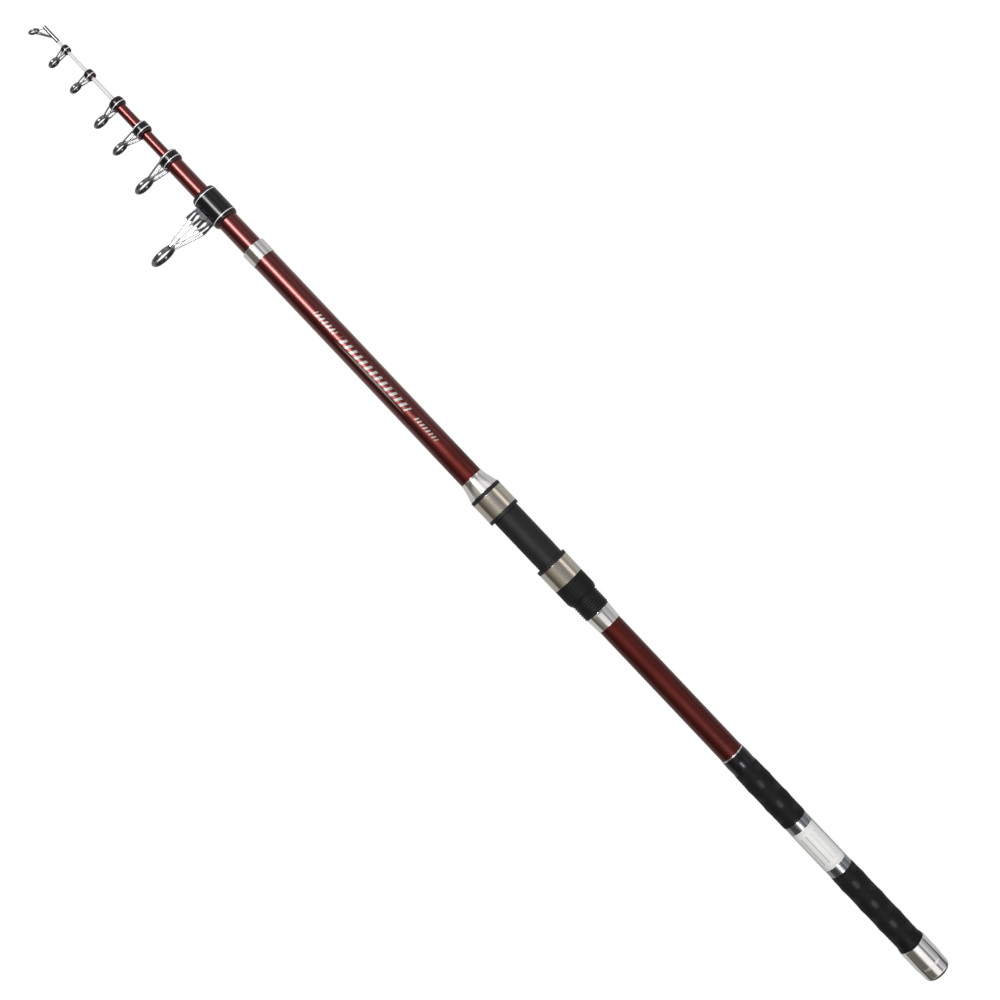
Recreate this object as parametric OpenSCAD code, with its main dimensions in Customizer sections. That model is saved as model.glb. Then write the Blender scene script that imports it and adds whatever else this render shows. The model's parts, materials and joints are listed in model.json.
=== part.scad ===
// Telescopic surf rod, closed, lying with its line guides to the side.
// Origin: centre of the butt cap's end face, on the rod's axis.
// +X runs from the butt to the tip, +Y is the side the guides stand on, +Z is up.

/* [Butt end] */
// Length of the screw-on butt cap
cap_len = 35; // [25:0.5:50]
// Outer radius of the butt cap
cap_r = 13.4; // [12.9:0.1:16]
// Length of the bevelled nose of the cap
cap_nose = 13; // [6:0.5:16]
// Radius of the flat end of the cap
cap_flat_r = 9.3; // [6:0.1:11]
// Thickness of the cap's floor
cap_floor = 5; // [3:0.5:8]
// Length of the rubber pad that the sections stand on
pad_len = 11.5; // [6:0.5:14]
// Radius of the rubber pad
pad_r = 9.8; // [6:0.1:10]
// Length of the threaded sleeve on the end of the blank
sleeve_len = 18; // [10:0.5:19]
// Crest radius of the cap thread
cap_thread_r = 12.3; // [12:0.05:12.6]
// Pitch of the cap thread
cap_pitch = 1.5; // [1:0.25:2]
// Depth of the cap thread
cap_thread_depth = 0.5; // [0.3:0.05:0.6]
// How much narrower the nose of the cap is than its barrel
cap_bevel = 0.7; // [0.3:0.1:1.5]
// Length of the rounded edge of the nose
cap_edge = 4.3; // [2:0.1:6]

/* [Grip] */
// Length of the gloss band at the foot of the lower grip
butt_whip_len = 10; // [4:0.5:16]
// Flare of that band where it meets the cap
butt_flare = 0.6; // [0.2:0.1:1]
// Length of the lower grip, behind the band
lower_grip_len = 78; // [50:1:140]
// Length of the bright sleeve between the grips
band_len = 59; // [40:1:100]
// Outer radius of the bright sleeve
band_r = 11.7; // [11.6:0.05:12]
// Length of the bare label on the bright sleeve
label_len = 42; // [10:1:55]
// Part of the circle that the label covers, in degrees
label_arc = 230; // [90:5:280]
// Angle from the top to the label's edge on the far side, in degrees
label_edge = 65; // [20:5:75]
// Thickness of the label
label_t = 0.12; // [0.08:0.01:0.2]
// Length of the upper grip
upper_grip_len = 62; // [40:1:120]
// Mean radius of the grips
grip_r = 12.2; // [11.9:0.05:13]
// Height of the swells on the grips
grip_swell = 0.3; // [0:0.05:0.4]
// Distance from swell to swell
grip_pitch = 23; // [12:0.5:30]
// Length of the gloss whipping ahead of the upper grip
whip_len = 16; // [8:0.5:30]
// Height of that whipping above the blank at its front end
whip_rise = 0.5; // [0.3:0.05:0.8]
// Length of the bright ring ahead of that whipping
whip_ring_len = 1.2; // [1:0.1:4]

/* [Blanks] */
// Length of the bare blank from the bright ring to the reel seat
fore_blank_len = 154.1; // [100:1:260]
// Length of the bare blank from the reel seat to the top ferrule
upper_blank_len = 261; // [150:1:400]
// Radius of the butt section at its top
butt_top_r = 11; // [10.8:0.05:11.1]
// How much the butt section's radius grows down to its foot
butt_taper = 0.2; // [0:0.05:0.25]
// Radius of the second section at its top
second_top_r = 9.65; // [9.2:0.05:9.8]
// Radius of the third section at its top
third_top_r = 7.6; // [7:0.05:8]
// Radius of the fourth section at its top
fourth_top_r = 4.75; // [4.4:0.05:5.4]
// Radius of the tip where it leaves the fourth section
tip_root_r = 1.95; // [1.6:0.05:2.4]
// Radius of the tip at its end
tip_end_r = 1.1; // [0.8:0.05:1.4]
// Wall of the hollow sections
blank_wall = 0.85; // [0.7:0.05:1]
// Radial play of a section in the next one when it is drawn right out
slide_play = 0.2; // [0.1:0.05:0.3]
// How far the second section stands out of the butt section when closed
second_out = 64; // [50:1:120]
// How far the third section stands out of the second when closed
third_out = 45.6; // [25:0.2:90]
// How far the fourth section stands out of the third when closed
fourth_out = 65.7; // [45:0.1:100]
// How far the tip stands out of the fourth section when closed
tip_out = 89; // [75:1:120]
// Length that the second section keeps inside the butt section
second_overlap = 110; // [60:1:150]
// Length that the third section keeps inside the second
third_overlap = 100; // [60:1:150]
// Length that the fourth section keeps inside the third
fourth_overlap = 88; // [60:1:150]
// Length that the tip keeps inside the fourth section
tip_overlap = 70; // [50:1:120]

/* [Trim] */
// Length of the bright ferrule at the top of the butt section
ferrule_len = 14; // [8:0.5:24]
// Outer radius of that ferrule
ferrule_r = 11.5; // [11.4:0.05:12.2]
// Length of the bright ring behind the reel seat
seat_ring_len = 15.2; // [8:0.5:24]
// Length of the bright cone ahead of the reel seat
cone_len = 16.4; // [10:0.2:30]
// Edge thickness of the bright trims where they run down to the blank
trim_edge = 0.3; // [0.2:0.05:0.6]
// Step from the seat's flange down to the bright cone
cone_step = 0.6; // [0.2:0.1:1.2]
// Gap left for glue between a blank and what sits on it
glue_gap = 0.05; // [0.02:0.01:0.1]

/* [Reel seat] */
// Length of bare thread behind the lock nut
bare_thread = 17.5; // [12:0.5:30]
// Crest radius of the seat thread
seat_thread_r = 13.2; // [13:0.05:13.35]
// Depth of the seat thread
seat_thread_depth = 0.8; // [0.5:0.05:1]
// Pitch of the seat thread
seat_pitch = 2.5; // [1.5:0.25:3]
// Length of the lock nut
nut_len = 19; // [12:0.5:26]
// Outer radius of the lock nut
nut_r = 15.1; // [14.6:0.1:16]
// Thickness of the lock nut's lip at its tail
nut_lip = 0.8; // [0.4:0.1:1.2]
// Number of finger flutes round the lock nut
nut_flutes = 24; // [12:1:36]
// Radius of a flute
flute_r = 1.2; // [0.8:0.1:1.6]
// Depth of a flute
flute_depth = 0.35; // [0.2:0.05:0.6]
// Length of each hood's steel sleeve
hood_len = 19.5; // [14:0.5:28]
// Outer radius of the moving hood's sleeve
hood_r = 15.3; // [15:0.1:16.5]
// Outer radius of the fixed hood's sleeve
fixed_hood_r = 15.6; // [15.2:0.1:16.5]
// Thickness of the hoods' steel sleeves
hood_sheet = 0.5; // [0.4:0.05:0.7]
// Width of the black flanges beside the hoods
flange_w = 3.3; // [2:0.1:5]
// Clear length of the saddle between the hoods
saddle_len = 57; // [40:1:90]
// Radius of the seat body at the saddle
saddle_r = 13.5; // [13.4:0.05:13.8]
// Height of the saddle's flat above the rod's axis
saddle_flat = 12.3; // [12:0.05:12.8]
// Rise of the saddle's land above the floors of the reel-foot pockets
land_rise = 0.1; // [0.05:0.05:0.3]
// Depth of the reel-foot pocket in each hood
pocket_depth = 13; // [8:0.5:16]
// Half width of the reel-foot pockets
pocket_half_w = 8; // [5:0.5:9]
// Thickness of moulding left between a pocket and its steel sleeve
pocket_roof = 0.5; // [0.3:0.05:0.8]
// How far the moving hood's flange stands above its sleeve
flange_rise = 0.2; // [0:0.05:0.4]
// How far the hood can run forward from where it is stored
hood_forward = 8; // [4:0.5:12]
// Running play between the nut or hood and the seat
seat_play = 0.1; // [0.05:0.01:0.15]

/* [Line guides] */
// Height of the first guide's ring above the axis
guide_1_height = 61.5; // [45:0.5:80]
// Outer radius of the first guide's ring
guide_1_ring_r = 13; // [9:0.1:16]
// Height of the second guide's ring above the axis
guide_2_height = 31.5; // [27:0.5:50]
// Outer radius of the second guide's ring
guide_2_ring_r = 10.3; // [7:0.1:12]
// Height of the third guide's ring above the axis
guide_3_height = 24.5; // [22:0.5:40]
// Outer radius of the third guide's ring
guide_3_ring_r = 8.2; // [6:0.1:10]
// Height of the fourth guide's ring above the axis
guide_4_height = 20.5; // [19:0.5:36]
// Outer radius of the fourth guide's ring
guide_4_ring_r = 8; // [6:0.1:9]
// Height of the fifth guide's ring above the axis
guide_5_height = 16.5; // [15:0.5:30]
// Outer radius of the fifth guide's ring
guide_5_ring_r = 6.3; // [5:0.1:8]
// Height of the sixth guide's ring above the axis
guide_6_height = 15; // [13:0.5:26]
// Outer radius of the sixth guide's ring
guide_6_ring_r = 6; // [5:0.1:7.5]
// Height of the tip ring above the axis
tip_ring_height = 9.3; // [8.5:0.1:14]
// Outer radius of the tip ring
tip_ring_r = 5.2; // [4.6:0.05:6]
// Lean of the tip ring away from the rod, in degrees
tip_ring_lean = 20; // [0:1:30]
// Width of the tip ring's steel hoop
tip_hoop_width = 1.4; // [1:0.1:2.4]
// Run of the third guide down its section when the rod is open
guide_3_run = 420; // [200:5:460]
// Run of the fifth guide down the tip when the rod is open
guide_5_run = 620; // [300:5:660]
// Run of the sixth guide down the tip when the rod is open
guide_6_run = 310; // [100:5:330]
// Length of the first guide's collar
guide_1_len = 31.5; // [28:0.5:44]
// Radius of the first guide's collar
guide_1_collar_r = 12; // [11.6:0.1:13]
// Where the first ring stands along its collar
guide_1_ring_at = 16; // [10:0.5:22]
// Length of the second guide's collar
guide_2_len = 10.7; // [9:0.1:18]
// Radius of the second guide's collar
guide_2_collar_r = 9.6; // [9.2:0.1:11]
// Where the second ring stands along its collar
guide_2_ring_at = 5.2; // [3:0.1:9]
// Length of the third guide's collar
guide_3_len = 10.1; // [9:0.1:18]
// Radius of the third guide's collar
guide_3_collar_r = 7.7; // [7.4:0.1:9]
// Where the third ring stands along its collar
guide_3_ring_at = 6.9; // [3:0.1:9]
// How far the third guide stands beyond the third section when closed
guide_3_out = 25.5; // [14:0.5:40]
// Length of the fourth guide's collar
guide_4_len = 8.3; // [7:0.1:14]
// Radius of the fourth guide's collar
guide_4_collar_r = 7.1; // [6.4:0.1:8]
// Where the fourth ring stands along its collar
guide_4_ring_at = 3; // [2:0.1:7]
// Length of the fifth guide's collar
guide_5_len = 7.2; // [7:0.1:14]
// Radius of the fifth guide's collar
guide_5_collar_r = 4.6; // [4.4:0.1:6]
// Where the fifth ring stands along its collar
guide_5_ring_at = 4.1; // [2:0.1:7]
// How far the fifth guide stands beyond the fourth section when closed
guide_5_out = 27.1; // [14:0.1:32]
// Length of the sixth guide's collar
guide_6_len = 6.4; // [6:0.1:12]
// Radius of the sixth guide's collar
guide_6_collar_r = 3.8; // [3.6:0.1:5]
// Where the sixth ring stands along its collar
guide_6_ring_at = 2.2; // [2:0.1:6]
// How far the sixth guide stands beyond the fourth section when closed
guide_6_out = 57.8; // [46:0.1:58]
// How far the tip ring stands beyond the end of the tip
tip_ring_out = 2.7; // [2:0.1:5]
// Length of the tip ring's tube
tip_tube_len = 18.3; // [12:0.1:20]
// Wall of the steel tube that carries each guide
guide_tube = 0.4; // [0.3:0.05:0.6]
// Play of a sliding guide where it stops on its blank
guide_play = 0.05; // [0.03:0.01:0.1]

/* [Hidden] */
$fn = 64;

// Clearances, and how far a cutting tool overshoots
face_gap = 0.2;
foot_gap = 0.3;
seat_fit = 0.02;
cut = 1;

// Small sizes shared by the line guides
leg_lean = 38;
tube_inset = 0.5;
insert_proud = 0.3;
insert_round = 0.6;
collar_taper = 3;
varnish_edge = 0.3;
band_w = 0.9;
band_depth = 0.35;
band_proud = 0.1;
tip_seat = 4;
tip_leg_r = 0.8;
brace_r = 0.6;
brace_at = 5;

// Stamped legs of the first guide
leg_foot_at = 6.5;
leg_foot_len = 18.5;
leg_plate_t = 1.2;
leg_plate_z = 4.6;
leg_sill = 2.2;
leg_shoulder = 8.5;
leg_neck = 2;
leg_window_r = 3;
leg_window_at = 4.4;

// Places along the axis, butt to tip
pad_x = cap_floor + face_gap;
foot_x = pad_x + pad_len + foot_gap;
blank_x = cap_len - sleeve_len - cap_pitch;
whip_x = cap_len + face_gap;
lower_grip_x = whip_x + butt_whip_len;
band_x = lower_grip_x + lower_grip_len;
upper_grip_x = band_x + band_len;
upper_whip_x = upper_grip_x + upper_grip_len;
whip_ring_x = upper_whip_x + whip_len;
fore_blank_x = whip_ring_x + whip_ring_len;
seat_ring_x = fore_blank_x + fore_blank_len;
seat_x = seat_ring_x + seat_ring_len;
nut_x = seat_x + bare_thread;
hood_x = nut_x + nut_len + face_gap;
saddle_x = hood_x + hood_len + flange_w;
fixed_hood_x = saddle_x + saddle_len;
fixed_sleeve_x = fixed_hood_x + flange_w;
cone_x = fixed_sleeve_x + hood_len + flange_w;
land_x = saddle_x + hood_forward + face_gap;
thread_end_x = nut_x + nut_len + hood_forward + cut;
upper_blank_x = cone_x + cone_len;
ferrule_x = upper_blank_x + upper_blank_len;
butt_top_x = ferrule_x + ferrule_len;
second_top_x = butt_top_x + second_out;
third_top_x = second_top_x + third_out;
fourth_top_x = third_top_x + fourth_out;
tip_top_x = fourth_top_x + tip_out;
tip_tube_x = tip_top_x - tip_tube_len;
tip_ring_x = tip_top_x + tip_ring_out;

// Heights and radii inside the reel seat
seat_core_r = seat_thread_r - seat_thread_depth;
pocket_floor = saddle_flat - land_rise;
pocket_r = hood_r - hood_sheet - pocket_roof;
key_half_w = 1.5;
key_floor_r = seat_core_r - 0.3;
key_root = 0.3;

// Radius of a section: straight from its foot to its top
function radius_at(foot, foot_r, top, top_r, x) = foot_r + (top_r - foot_r) * (x - foot) / (top - foot);
function butt_r(x) = radius_at(blank_x, butt_top_r + butt_taper, butt_top_x, butt_top_r, x);
// A section's foot fills the mouth it is drawn into, less the play
second_foot_r = butt_r(butt_top_x - second_overlap) - blank_wall - slide_play;
function second_r(x) = radius_at(foot_x, second_foot_r, second_top_x, second_top_r, x);
third_foot_r = second_r(second_top_x - third_overlap) - blank_wall - slide_play;
function third_r(x) = radius_at(foot_x, third_foot_r, third_top_x, third_top_r, x);
fourth_foot_r = third_r(third_top_x - fourth_overlap) - blank_wall - slide_play;
function fourth_r(x) = radius_at(foot_x, fourth_foot_r, fourth_top_x, fourth_top_r, x);
tip_foot_r = fourth_r(fourth_top_x - tip_overlap) - blank_wall - slide_play;
// The tip has a slow taper up to the fourth section's mouth and a quick one beyond it
function tip_r(x) = x < fourth_top_x
  ? radius_at(foot_x, tip_foot_r, fourth_top_x, tip_root_r, x)
  : radius_at(fourth_top_x, tip_root_r, tip_top_x, tip_end_r, x);

// Travel of each section, closed to open
second_travel = butt_top_x - foot_x - second_overlap;
third_travel = second_top_x - foot_x - third_overlap;
fourth_travel = third_top_x - foot_x - fourth_overlap;
tip_travel = fourth_top_x - foot_x - tip_overlap;

// Round solids about the rod's axis
module turned(outline) {
  rotate([0, 90, 0])
    rotate_extrude()
      polygon([for (p = outline) [p[1], p[0]]]);
}

module along_x(x, len, r) {
  translate([x, 0, 0])
    rotate([0, 90, 0])
      cylinder(h = len, r = r);
}

module wire(from, to, r) {
  step = to - from;
  translate(from)
    rotate([0, acos(step[2] / norm(step)), atan2(step[1], step[0])])
      cylinder(h = norm(step), r = r);
}

// Thread ridges at a given pitch, as an outline from valley to crest
function ridges(x, len, pitch, crest, depth) = [
  for (i = [0 : floor(len / pitch) - 1], step = [[0, 0], [0.3, depth], [0.6, depth], [0.9, 0]])
    [x + (i + step[0]) * pitch, crest - depth + step[1]]
];

// Tapered tube, open at both ends
module hollow_blank(foot, foot_r, top, top_r) {
  turned([
    [foot, foot_r - blank_wall], [foot, foot_r], [top, top_r], [top, top_r - blank_wall]
  ]);
}

module butt_blank() {
  color([0.30, 0.05, 0.06])
    hollow_blank(blank_x, butt_r(blank_x), butt_top_x, butt_top_r);
}

module second_blank() {
  color([0.32, 0.05, 0.06])
    hollow_blank(foot_x, second_foot_r, second_top_x, second_top_r);
}

module third_blank() {
  color([0.32, 0.05, 0.06])
    hollow_blank(foot_x, third_foot_r, third_top_x, third_top_r);
}

module fourth_blank() {
  color([0.34, 0.06, 0.07])
    hollow_blank(foot_x, fourth_foot_r, fourth_top_x, fourth_top_r);
}

// The tip is solid glass fibre
module tip_blank() {
  color([0.92, 0.92, 0.90])
    turned([
      [foot_x, 0], [foot_x, tip_foot_r], [fourth_top_x, tip_root_r],
      [tip_top_x - tip_seat, tip_r(tip_top_x - tip_seat)], [tip_top_x - tip_seat, 0]
    ]);
}

// A sleeve that sits on the butt blank, from its outside outline
module on_butt(x, len, outside) {
  bore = butt_r(x) + glue_gap;
  turned(concat([[x, bore]], outside, [[x + len, bore]]));
}

module butt_thread_sleeve() {
  color([0.78, 0.79, 0.80])
    on_butt(blank_x, sleeve_len + cap_pitch, concat(
      [[blank_x, cap_thread_r - cap_thread_depth]],
      ridges(blank_x, sleeve_len, cap_pitch, cap_thread_r, cap_thread_depth),
      [[cap_len, cap_thread_r - cap_thread_depth]]
    ));
}

// The cap is a cup: a bevelled nose outside, a thread relief and the pad's floor inside
module butt_cap() {
  cavity_r = cap_thread_r + seat_play;
  nose_r = cap_r - cap_bevel;
  color([0.80, 0.81, 0.82])
    turned([
      [0, 0], [0, cap_flat_r],
      for (a = [15 : 15 : 90])
        [cap_edge * (1 - cos(a)), cap_flat_r + (nose_r - cap_flat_r) * sin(a)],
      [cap_nose, cap_r], [cap_len, cap_r], [cap_len, cavity_r], [cap_floor, cavity_r],
      [cap_floor, 0]
    ]);
}

module butt_pad() {
  color([0.10, 0.10, 0.10])
    along_x(pad_x, pad_len, pad_r);
}

module butt_whipping() {
  color([0.03, 0.03, 0.035])
    on_butt(whip_x, butt_whip_len, [
      [whip_x, grip_r + butt_flare], [whip_x + butt_whip_len / 5, grip_r + butt_flare],
      [whip_x + butt_whip_len / 2, grip_r], [whip_x + butt_whip_len, grip_r - grip_swell]
    ]);
}

// Grip with soft swells: a cosine wave that starts and ends in a hollow
module swelled_grip(x, len) {
  swells = max(1, round(len / grip_pitch));
  steps = swells * 8;
  on_butt(x, len, [
    for (i = [0 : steps]) [x + len * i / steps, grip_r - grip_swell * cos(360 * swells * i / steps)]
  ]);
}

module lower_grip() {
  color([0.05, 0.05, 0.05])
    swelled_grip(lower_grip_x, lower_grip_len);
}

module upper_grip() {
  color([0.05, 0.05, 0.05])
    swelled_grip(upper_grip_x, upper_grip_len);
}

module grip_band() {
  color([0.80, 0.80, 0.79])
    on_butt(band_x, band_len, [[band_x, band_r], [band_x + band_len, band_r]]);
}

// The label starts a little below the far side and runs over the top to the guide side
module bare_label() {
  color([0.95, 0.95, 0.94])
    translate([band_x + (band_len - label_len) / 2, 0, 0])
      rotate([0, 90, 0])
        rotate([0, 0, label_edge - 180])
          rotate_extrude(angle = -label_arc)
            translate([band_r + seat_fit, 0])
              square([label_t, label_len]);
}

module grip_whipping() {
  x = upper_whip_x;
  step = x + whip_len * 0.3;
  shoulder = x + whip_len * 0.9;
  low = butt_r(x) + whip_rise;
  high = grip_r - grip_swell;
  color([0.03, 0.03, 0.035])
    on_butt(x, whip_len, [[x, high], [step, high], [shoulder, low], [x + whip_len, low]]);
}

module grip_ring() {
  x = whip_ring_x;
  r = butt_r(x) + whip_rise;
  color([0.85, 0.85, 0.84])
    on_butt(x, whip_ring_len, [[x, r], [x + whip_ring_len, r]]);
}

module seat_ring() {
  x = seat_ring_x;
  low = butt_r(x) + trim_edge;
  high = seat_core_r - face_gap;
  color([0.82, 0.82, 0.80])
    on_butt(x, seat_ring_len, [
      [x, low], [x + seat_ring_len * 0.9, high], [x + seat_ring_len, high]
    ]);
}

// Thread, saddle and the core of the fixed hood in one moulding
module flat_cut(x, len, height) {
  translate([x, height, -saddle_r])
    cube([len, saddle_r, 2 * saddle_r]);
}

module reel_foot_pocket(x, len) {
  intersection() {
    along_x(x, len, pocket_r);
    translate([x, pocket_floor, -pocket_half_w])
      cube([len, pocket_r, 2 * pocket_half_w]);
  }
}

// The land for the reel foot starts where the hood's run ends
module reel_seat() {
  sleeve_seat_r = fixed_hood_r - hood_sheet - seat_fit;
  flange_x = cone_x - flange_w;
  color([0.06, 0.06, 0.06])
    difference() {
      on_butt(seat_x, cone_x - seat_x, concat(
        [[seat_x, seat_core_r]],
        ridges(seat_x, thread_end_x - seat_x, seat_pitch, seat_thread_r, seat_thread_depth),
        [
          [thread_end_x, seat_core_r], [thread_end_x, saddle_r], [fixed_hood_x, saddle_r],
          [fixed_hood_x, fixed_hood_r], [fixed_sleeve_x, fixed_hood_r],
          [fixed_sleeve_x, sleeve_seat_r], [flange_x, sleeve_seat_r],
          [flange_x, fixed_hood_r], [cone_x, fixed_hood_r]
        ]
      ));
      flat_cut(thread_end_x, land_x - thread_end_x, pocket_floor);
      flat_cut(land_x, fixed_hood_x - land_x, saddle_flat);
      reel_foot_pocket(fixed_hood_x - cut, pocket_depth + cut);
      translate([seat_x - cut, -2 * saddle_r, -key_half_w])
        cube([land_x + cut - seat_x, 2 * saddle_r - key_floor_r, 2 * key_half_w]);
    }
}

module hood_ring(x, len, r) {
  color([0.74, 0.72, 0.68])
    turned([[x, r - hood_sheet], [x, r], [x + len, r], [x + len, r - hood_sheet]]);
}

module fixed_hood_sleeve() {
  hood_ring(fixed_sleeve_x + seat_fit, hood_len - 2 * seat_fit, fixed_hood_r);
}

module moving_hood_sleeve() {
  hood_ring(hood_x, hood_len - seat_fit, hood_r);
}

// The moving hood slides on the saddle and is keyed to the slot in the thread
module moving_hood() {
  bore = saddle_r + seat_play;
  shell = hood_r - hood_sheet - seat_fit;
  flange_x = hood_x + hood_len;
  key_r = key_floor_r + face_gap;
  root_r = bore + key_root;
  color([0.06, 0.06, 0.06]) {
    difference() {
      turned([
        [hood_x, bore], [hood_x, shell], [flange_x, shell], [flange_x, hood_r + flange_rise],
        [saddle_x, hood_r + flange_rise], [saddle_x, bore]
      ]);
      reel_foot_pocket(saddle_x - pocket_depth, pocket_depth + cut);
    }
    intersection() {
      turned([[hood_x, key_r], [hood_x, root_r], [saddle_x, root_r], [saddle_x, key_r]]);
      translate([hood_x, -2 * bore, -key_half_w + face_gap])
        cube([hood_len + flange_w, 2 * bore, 2 * (key_half_w - face_gap)]);
    }
  }
}

module lock_nut() {
  bore = seat_thread_r + seat_play;
  tail = nut_len * 0.2;
  color([0.05, 0.05, 0.05])
    difference() {
      turned([
        [nut_x, bore], [nut_x, bore + nut_lip], [nut_x + tail, nut_r],
        [nut_x + nut_len, nut_r], [nut_x + nut_len, bore]
      ]);
      for (i = [1 : nut_flutes])
        rotate([360 * i / nut_flutes, 0, 0])
          translate([0, 0, nut_r + flute_r - flute_depth])
            along_x(nut_x + tail, nut_len - 2 * tail, flute_r);
    }
}

// The cone has a short straight land at each end and a hollow curve between them
module seat_cone() {
  tail = butt_r(upper_blank_x) + trim_edge;
  nose = fixed_hood_r - cone_step;
  start = cone_x + cone_len * 0.15;
  run = cone_len * 0.75;
  color([0.82, 0.82, 0.80])
    on_butt(cone_x, cone_len, [
      [cone_x, nose], [start, nose],
      for (t = [0.25 : 0.25 : 1]) [start + run * t, tail + (nose - tail) * (1 - t) * (1 - t / 4)],
      [upper_blank_x, tail]
    ]);
}

module top_ferrule() {
  color([0.84, 0.84, 0.83])
    on_butt(ferrule_x, ferrule_len, [[ferrule_x, ferrule_r], [butt_top_x, ferrule_r]]);
}

// Line guides, in order from the butt
guide_1_x = second_top_x - guide_1_len;
guide_2_x = third_top_x - guide_2_len;
guide_3_x = third_top_x + guide_3_out;
guide_4_x = fourth_top_x - guide_4_len;
guide_5_x = fourth_top_x + guide_5_out;
guide_6_x = fourth_top_x + guide_6_out;

// Columns: collar start, collar length, collar radius, bore of the carrying tube,
// ring place along the axis, ring height, ring radius, bands as parts of the collar's length
guides = [
  [guide_1_x, guide_1_len, guide_1_collar_r, second_r(guide_1_x) + glue_gap,
   guide_1_x + guide_1_ring_at, guide_1_height, guide_1_ring_r, [0.13, 0.89]],
  [guide_2_x, guide_2_len, guide_2_collar_r, third_r(guide_2_x) + glue_gap,
   guide_2_x + guide_2_ring_at, guide_2_height, guide_2_ring_r, [0.3, 0.87]],
  [guide_3_x, guide_3_len, guide_3_collar_r, fourth_r(guide_3_x - guide_3_run) + guide_play,
   guide_3_x + guide_3_ring_at, guide_3_height, guide_3_ring_r, [0.3, 0.9]],
  [guide_4_x, guide_4_len, guide_4_collar_r, fourth_r(guide_4_x) + glue_gap,
   guide_4_x + guide_4_ring_at, guide_4_height, guide_4_ring_r, [0.33]],
  [guide_5_x, guide_5_len, guide_5_collar_r, tip_r(guide_5_x - guide_5_run) + guide_play,
   guide_5_x + guide_5_ring_at, guide_5_height, guide_5_ring_r, [0.34]],
  [guide_6_x, guide_6_len, guide_6_collar_r, tip_r(guide_6_x - guide_6_run) + guide_play,
   guide_6_x + guide_6_ring_at, guide_6_height, guide_6_ring_r, [0.35]]
];

// Rings and wires grow with the radius of the ring
hoop_wall_base = 0.7;
hoop_wall_rate = 0.06;
hoop_width_base = 1.6;
hoop_width_rate = 0.15;
insert_base = 0.4;
insert_rate = 0.08;
leg_wire_base = 0.16;
leg_wire_rate = 0.067;
function hoop_wall(ring_r) = hoop_wall_base + ring_r * hoop_wall_rate;
function hoop_width(ring_r) = hoop_width_base + ring_r * hoop_width_rate;
function insert_wall(ring_r) = insert_base + ring_r * insert_rate;
function leg_wire_r(ring_r) = leg_wire_base + ring_r * leg_wire_rate;

// Ring about a line parallel to the axis
module hoop(x, height, width, outer, inner) {
  translate([x - width / 2, height, 0])
    difference() {
      along_x(0, width, outer);
      along_x(-cut, width + 2 * cut, inner);
    }
}

// Hard ring that the line runs through, round where the line bears
module insert_ring(x, height, ring_r, width, lean) {
  outer = ring_r - hoop_wall(ring_r) - seat_fit;
  wall = insert_wall(ring_r);
  edge = outer - wall * (1 - insert_round);
  half = width / 2 + insert_proud;
  color([0.07, 0.07, 0.08])
    translate([x, height, 0])
      rotate([0, 0, -lean])
        turned([
          [-half, outer], [half, outer], [half, edge],
          for (a = [60 : -30 : -60]) [half * sin(a), edge - wall * insert_round * cos(a)],
          [-half, edge]
        ]);
}

// Four wires from the carrying tube to the underside of the ring, two ahead and two behind
module wire_legs(g, grow) {
  wire_r = leg_wire_r(g[6]);
  tube_r = g[3] + guide_tube / 2;
  ring_mid = g[6] - hoop_wall(g[6]) / 2;
  inset = wire_r + tube_inset;
  for (side = [-1, 1], end = [-1, 1]) {
    foot_place = end < 0 ? g[0] + inset : g[0] + g[1] - inset;
    top_place = g[4] + end * hoop_width(g[6]) / 4;
    wire(
      [foot_place, tube_r * cos(leg_lean), side * tube_r * sin(leg_lean)],
      [top_place, g[5] - ring_mid * cos(leg_lean), side * ring_mid * sin(leg_lean)],
      wire_r + grow
    );
  }
}

// Tall stamped legs of the first guide: two plates, each with three legs and two open windows
module leg_outline(g, top) {
  leg_x = g[0] + leg_foot_at;
  leg_end = leg_x + leg_foot_len;
  base = g[3] / 2;
  sill = g[2] + leg_sill;
  shoulder = sill + leg_shoulder;
  neck = top - leg_neck;
  half_top = (hoop_width(g[6]) - leg_plate_t / 3) / 2;
  window_top = neck - leg_plate_t;
  difference() {
    polygon([
      [leg_x, base], [leg_end, base], [leg_end, shoulder], [g[4] + half_top, neck],
      [g[4] + half_top, top], [g[4] - half_top, top], [g[4] - half_top, neck], [leg_x, shoulder]
    ]);
    for (side = [-1, 1]) {
      mid = (leg_x + leg_end) / 2 + side * leg_window_at;
      tip = g[4] + side * half_top * 0.75;
      translate([mid, sill + leg_window_r])
        circle(r = leg_window_r);
      polygon([
        [mid - leg_window_r, sill + leg_window_r], [mid + leg_window_r, sill + leg_window_r],
        [tip + leg_plate_t / 3, window_top], [tip - leg_plate_t / 3, window_top]
      ]);
    }
  }
}

// The plates lean apart from the collar, so that each meets the ring low on its own side
module stamped_legs(g, grow) {
  ring_mid = g[6] - hoop_wall(g[6]) / 2;
  rise = g[5] - ring_mid * cos(leg_lean) - g[2];
  spread = ring_mid * sin(leg_lean) - leg_plate_z;
  for (side = [-1, 1])
    translate([0, g[2], side * leg_plate_z])
      rotate([side * atan2(spread, rise), 0, 0])
        translate([0, -g[2], -leg_plate_t / 2 - grow])
          linear_extrude(leg_plate_t + 2 * grow)
            leg_outline(g, g[2] + norm([rise, spread]));
}

module legs(i, grow) {
  if (i == 1)
    stamped_legs(guides[i - 1], grow);
  else
    wire_legs(guides[i - 1], grow);
}

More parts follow.
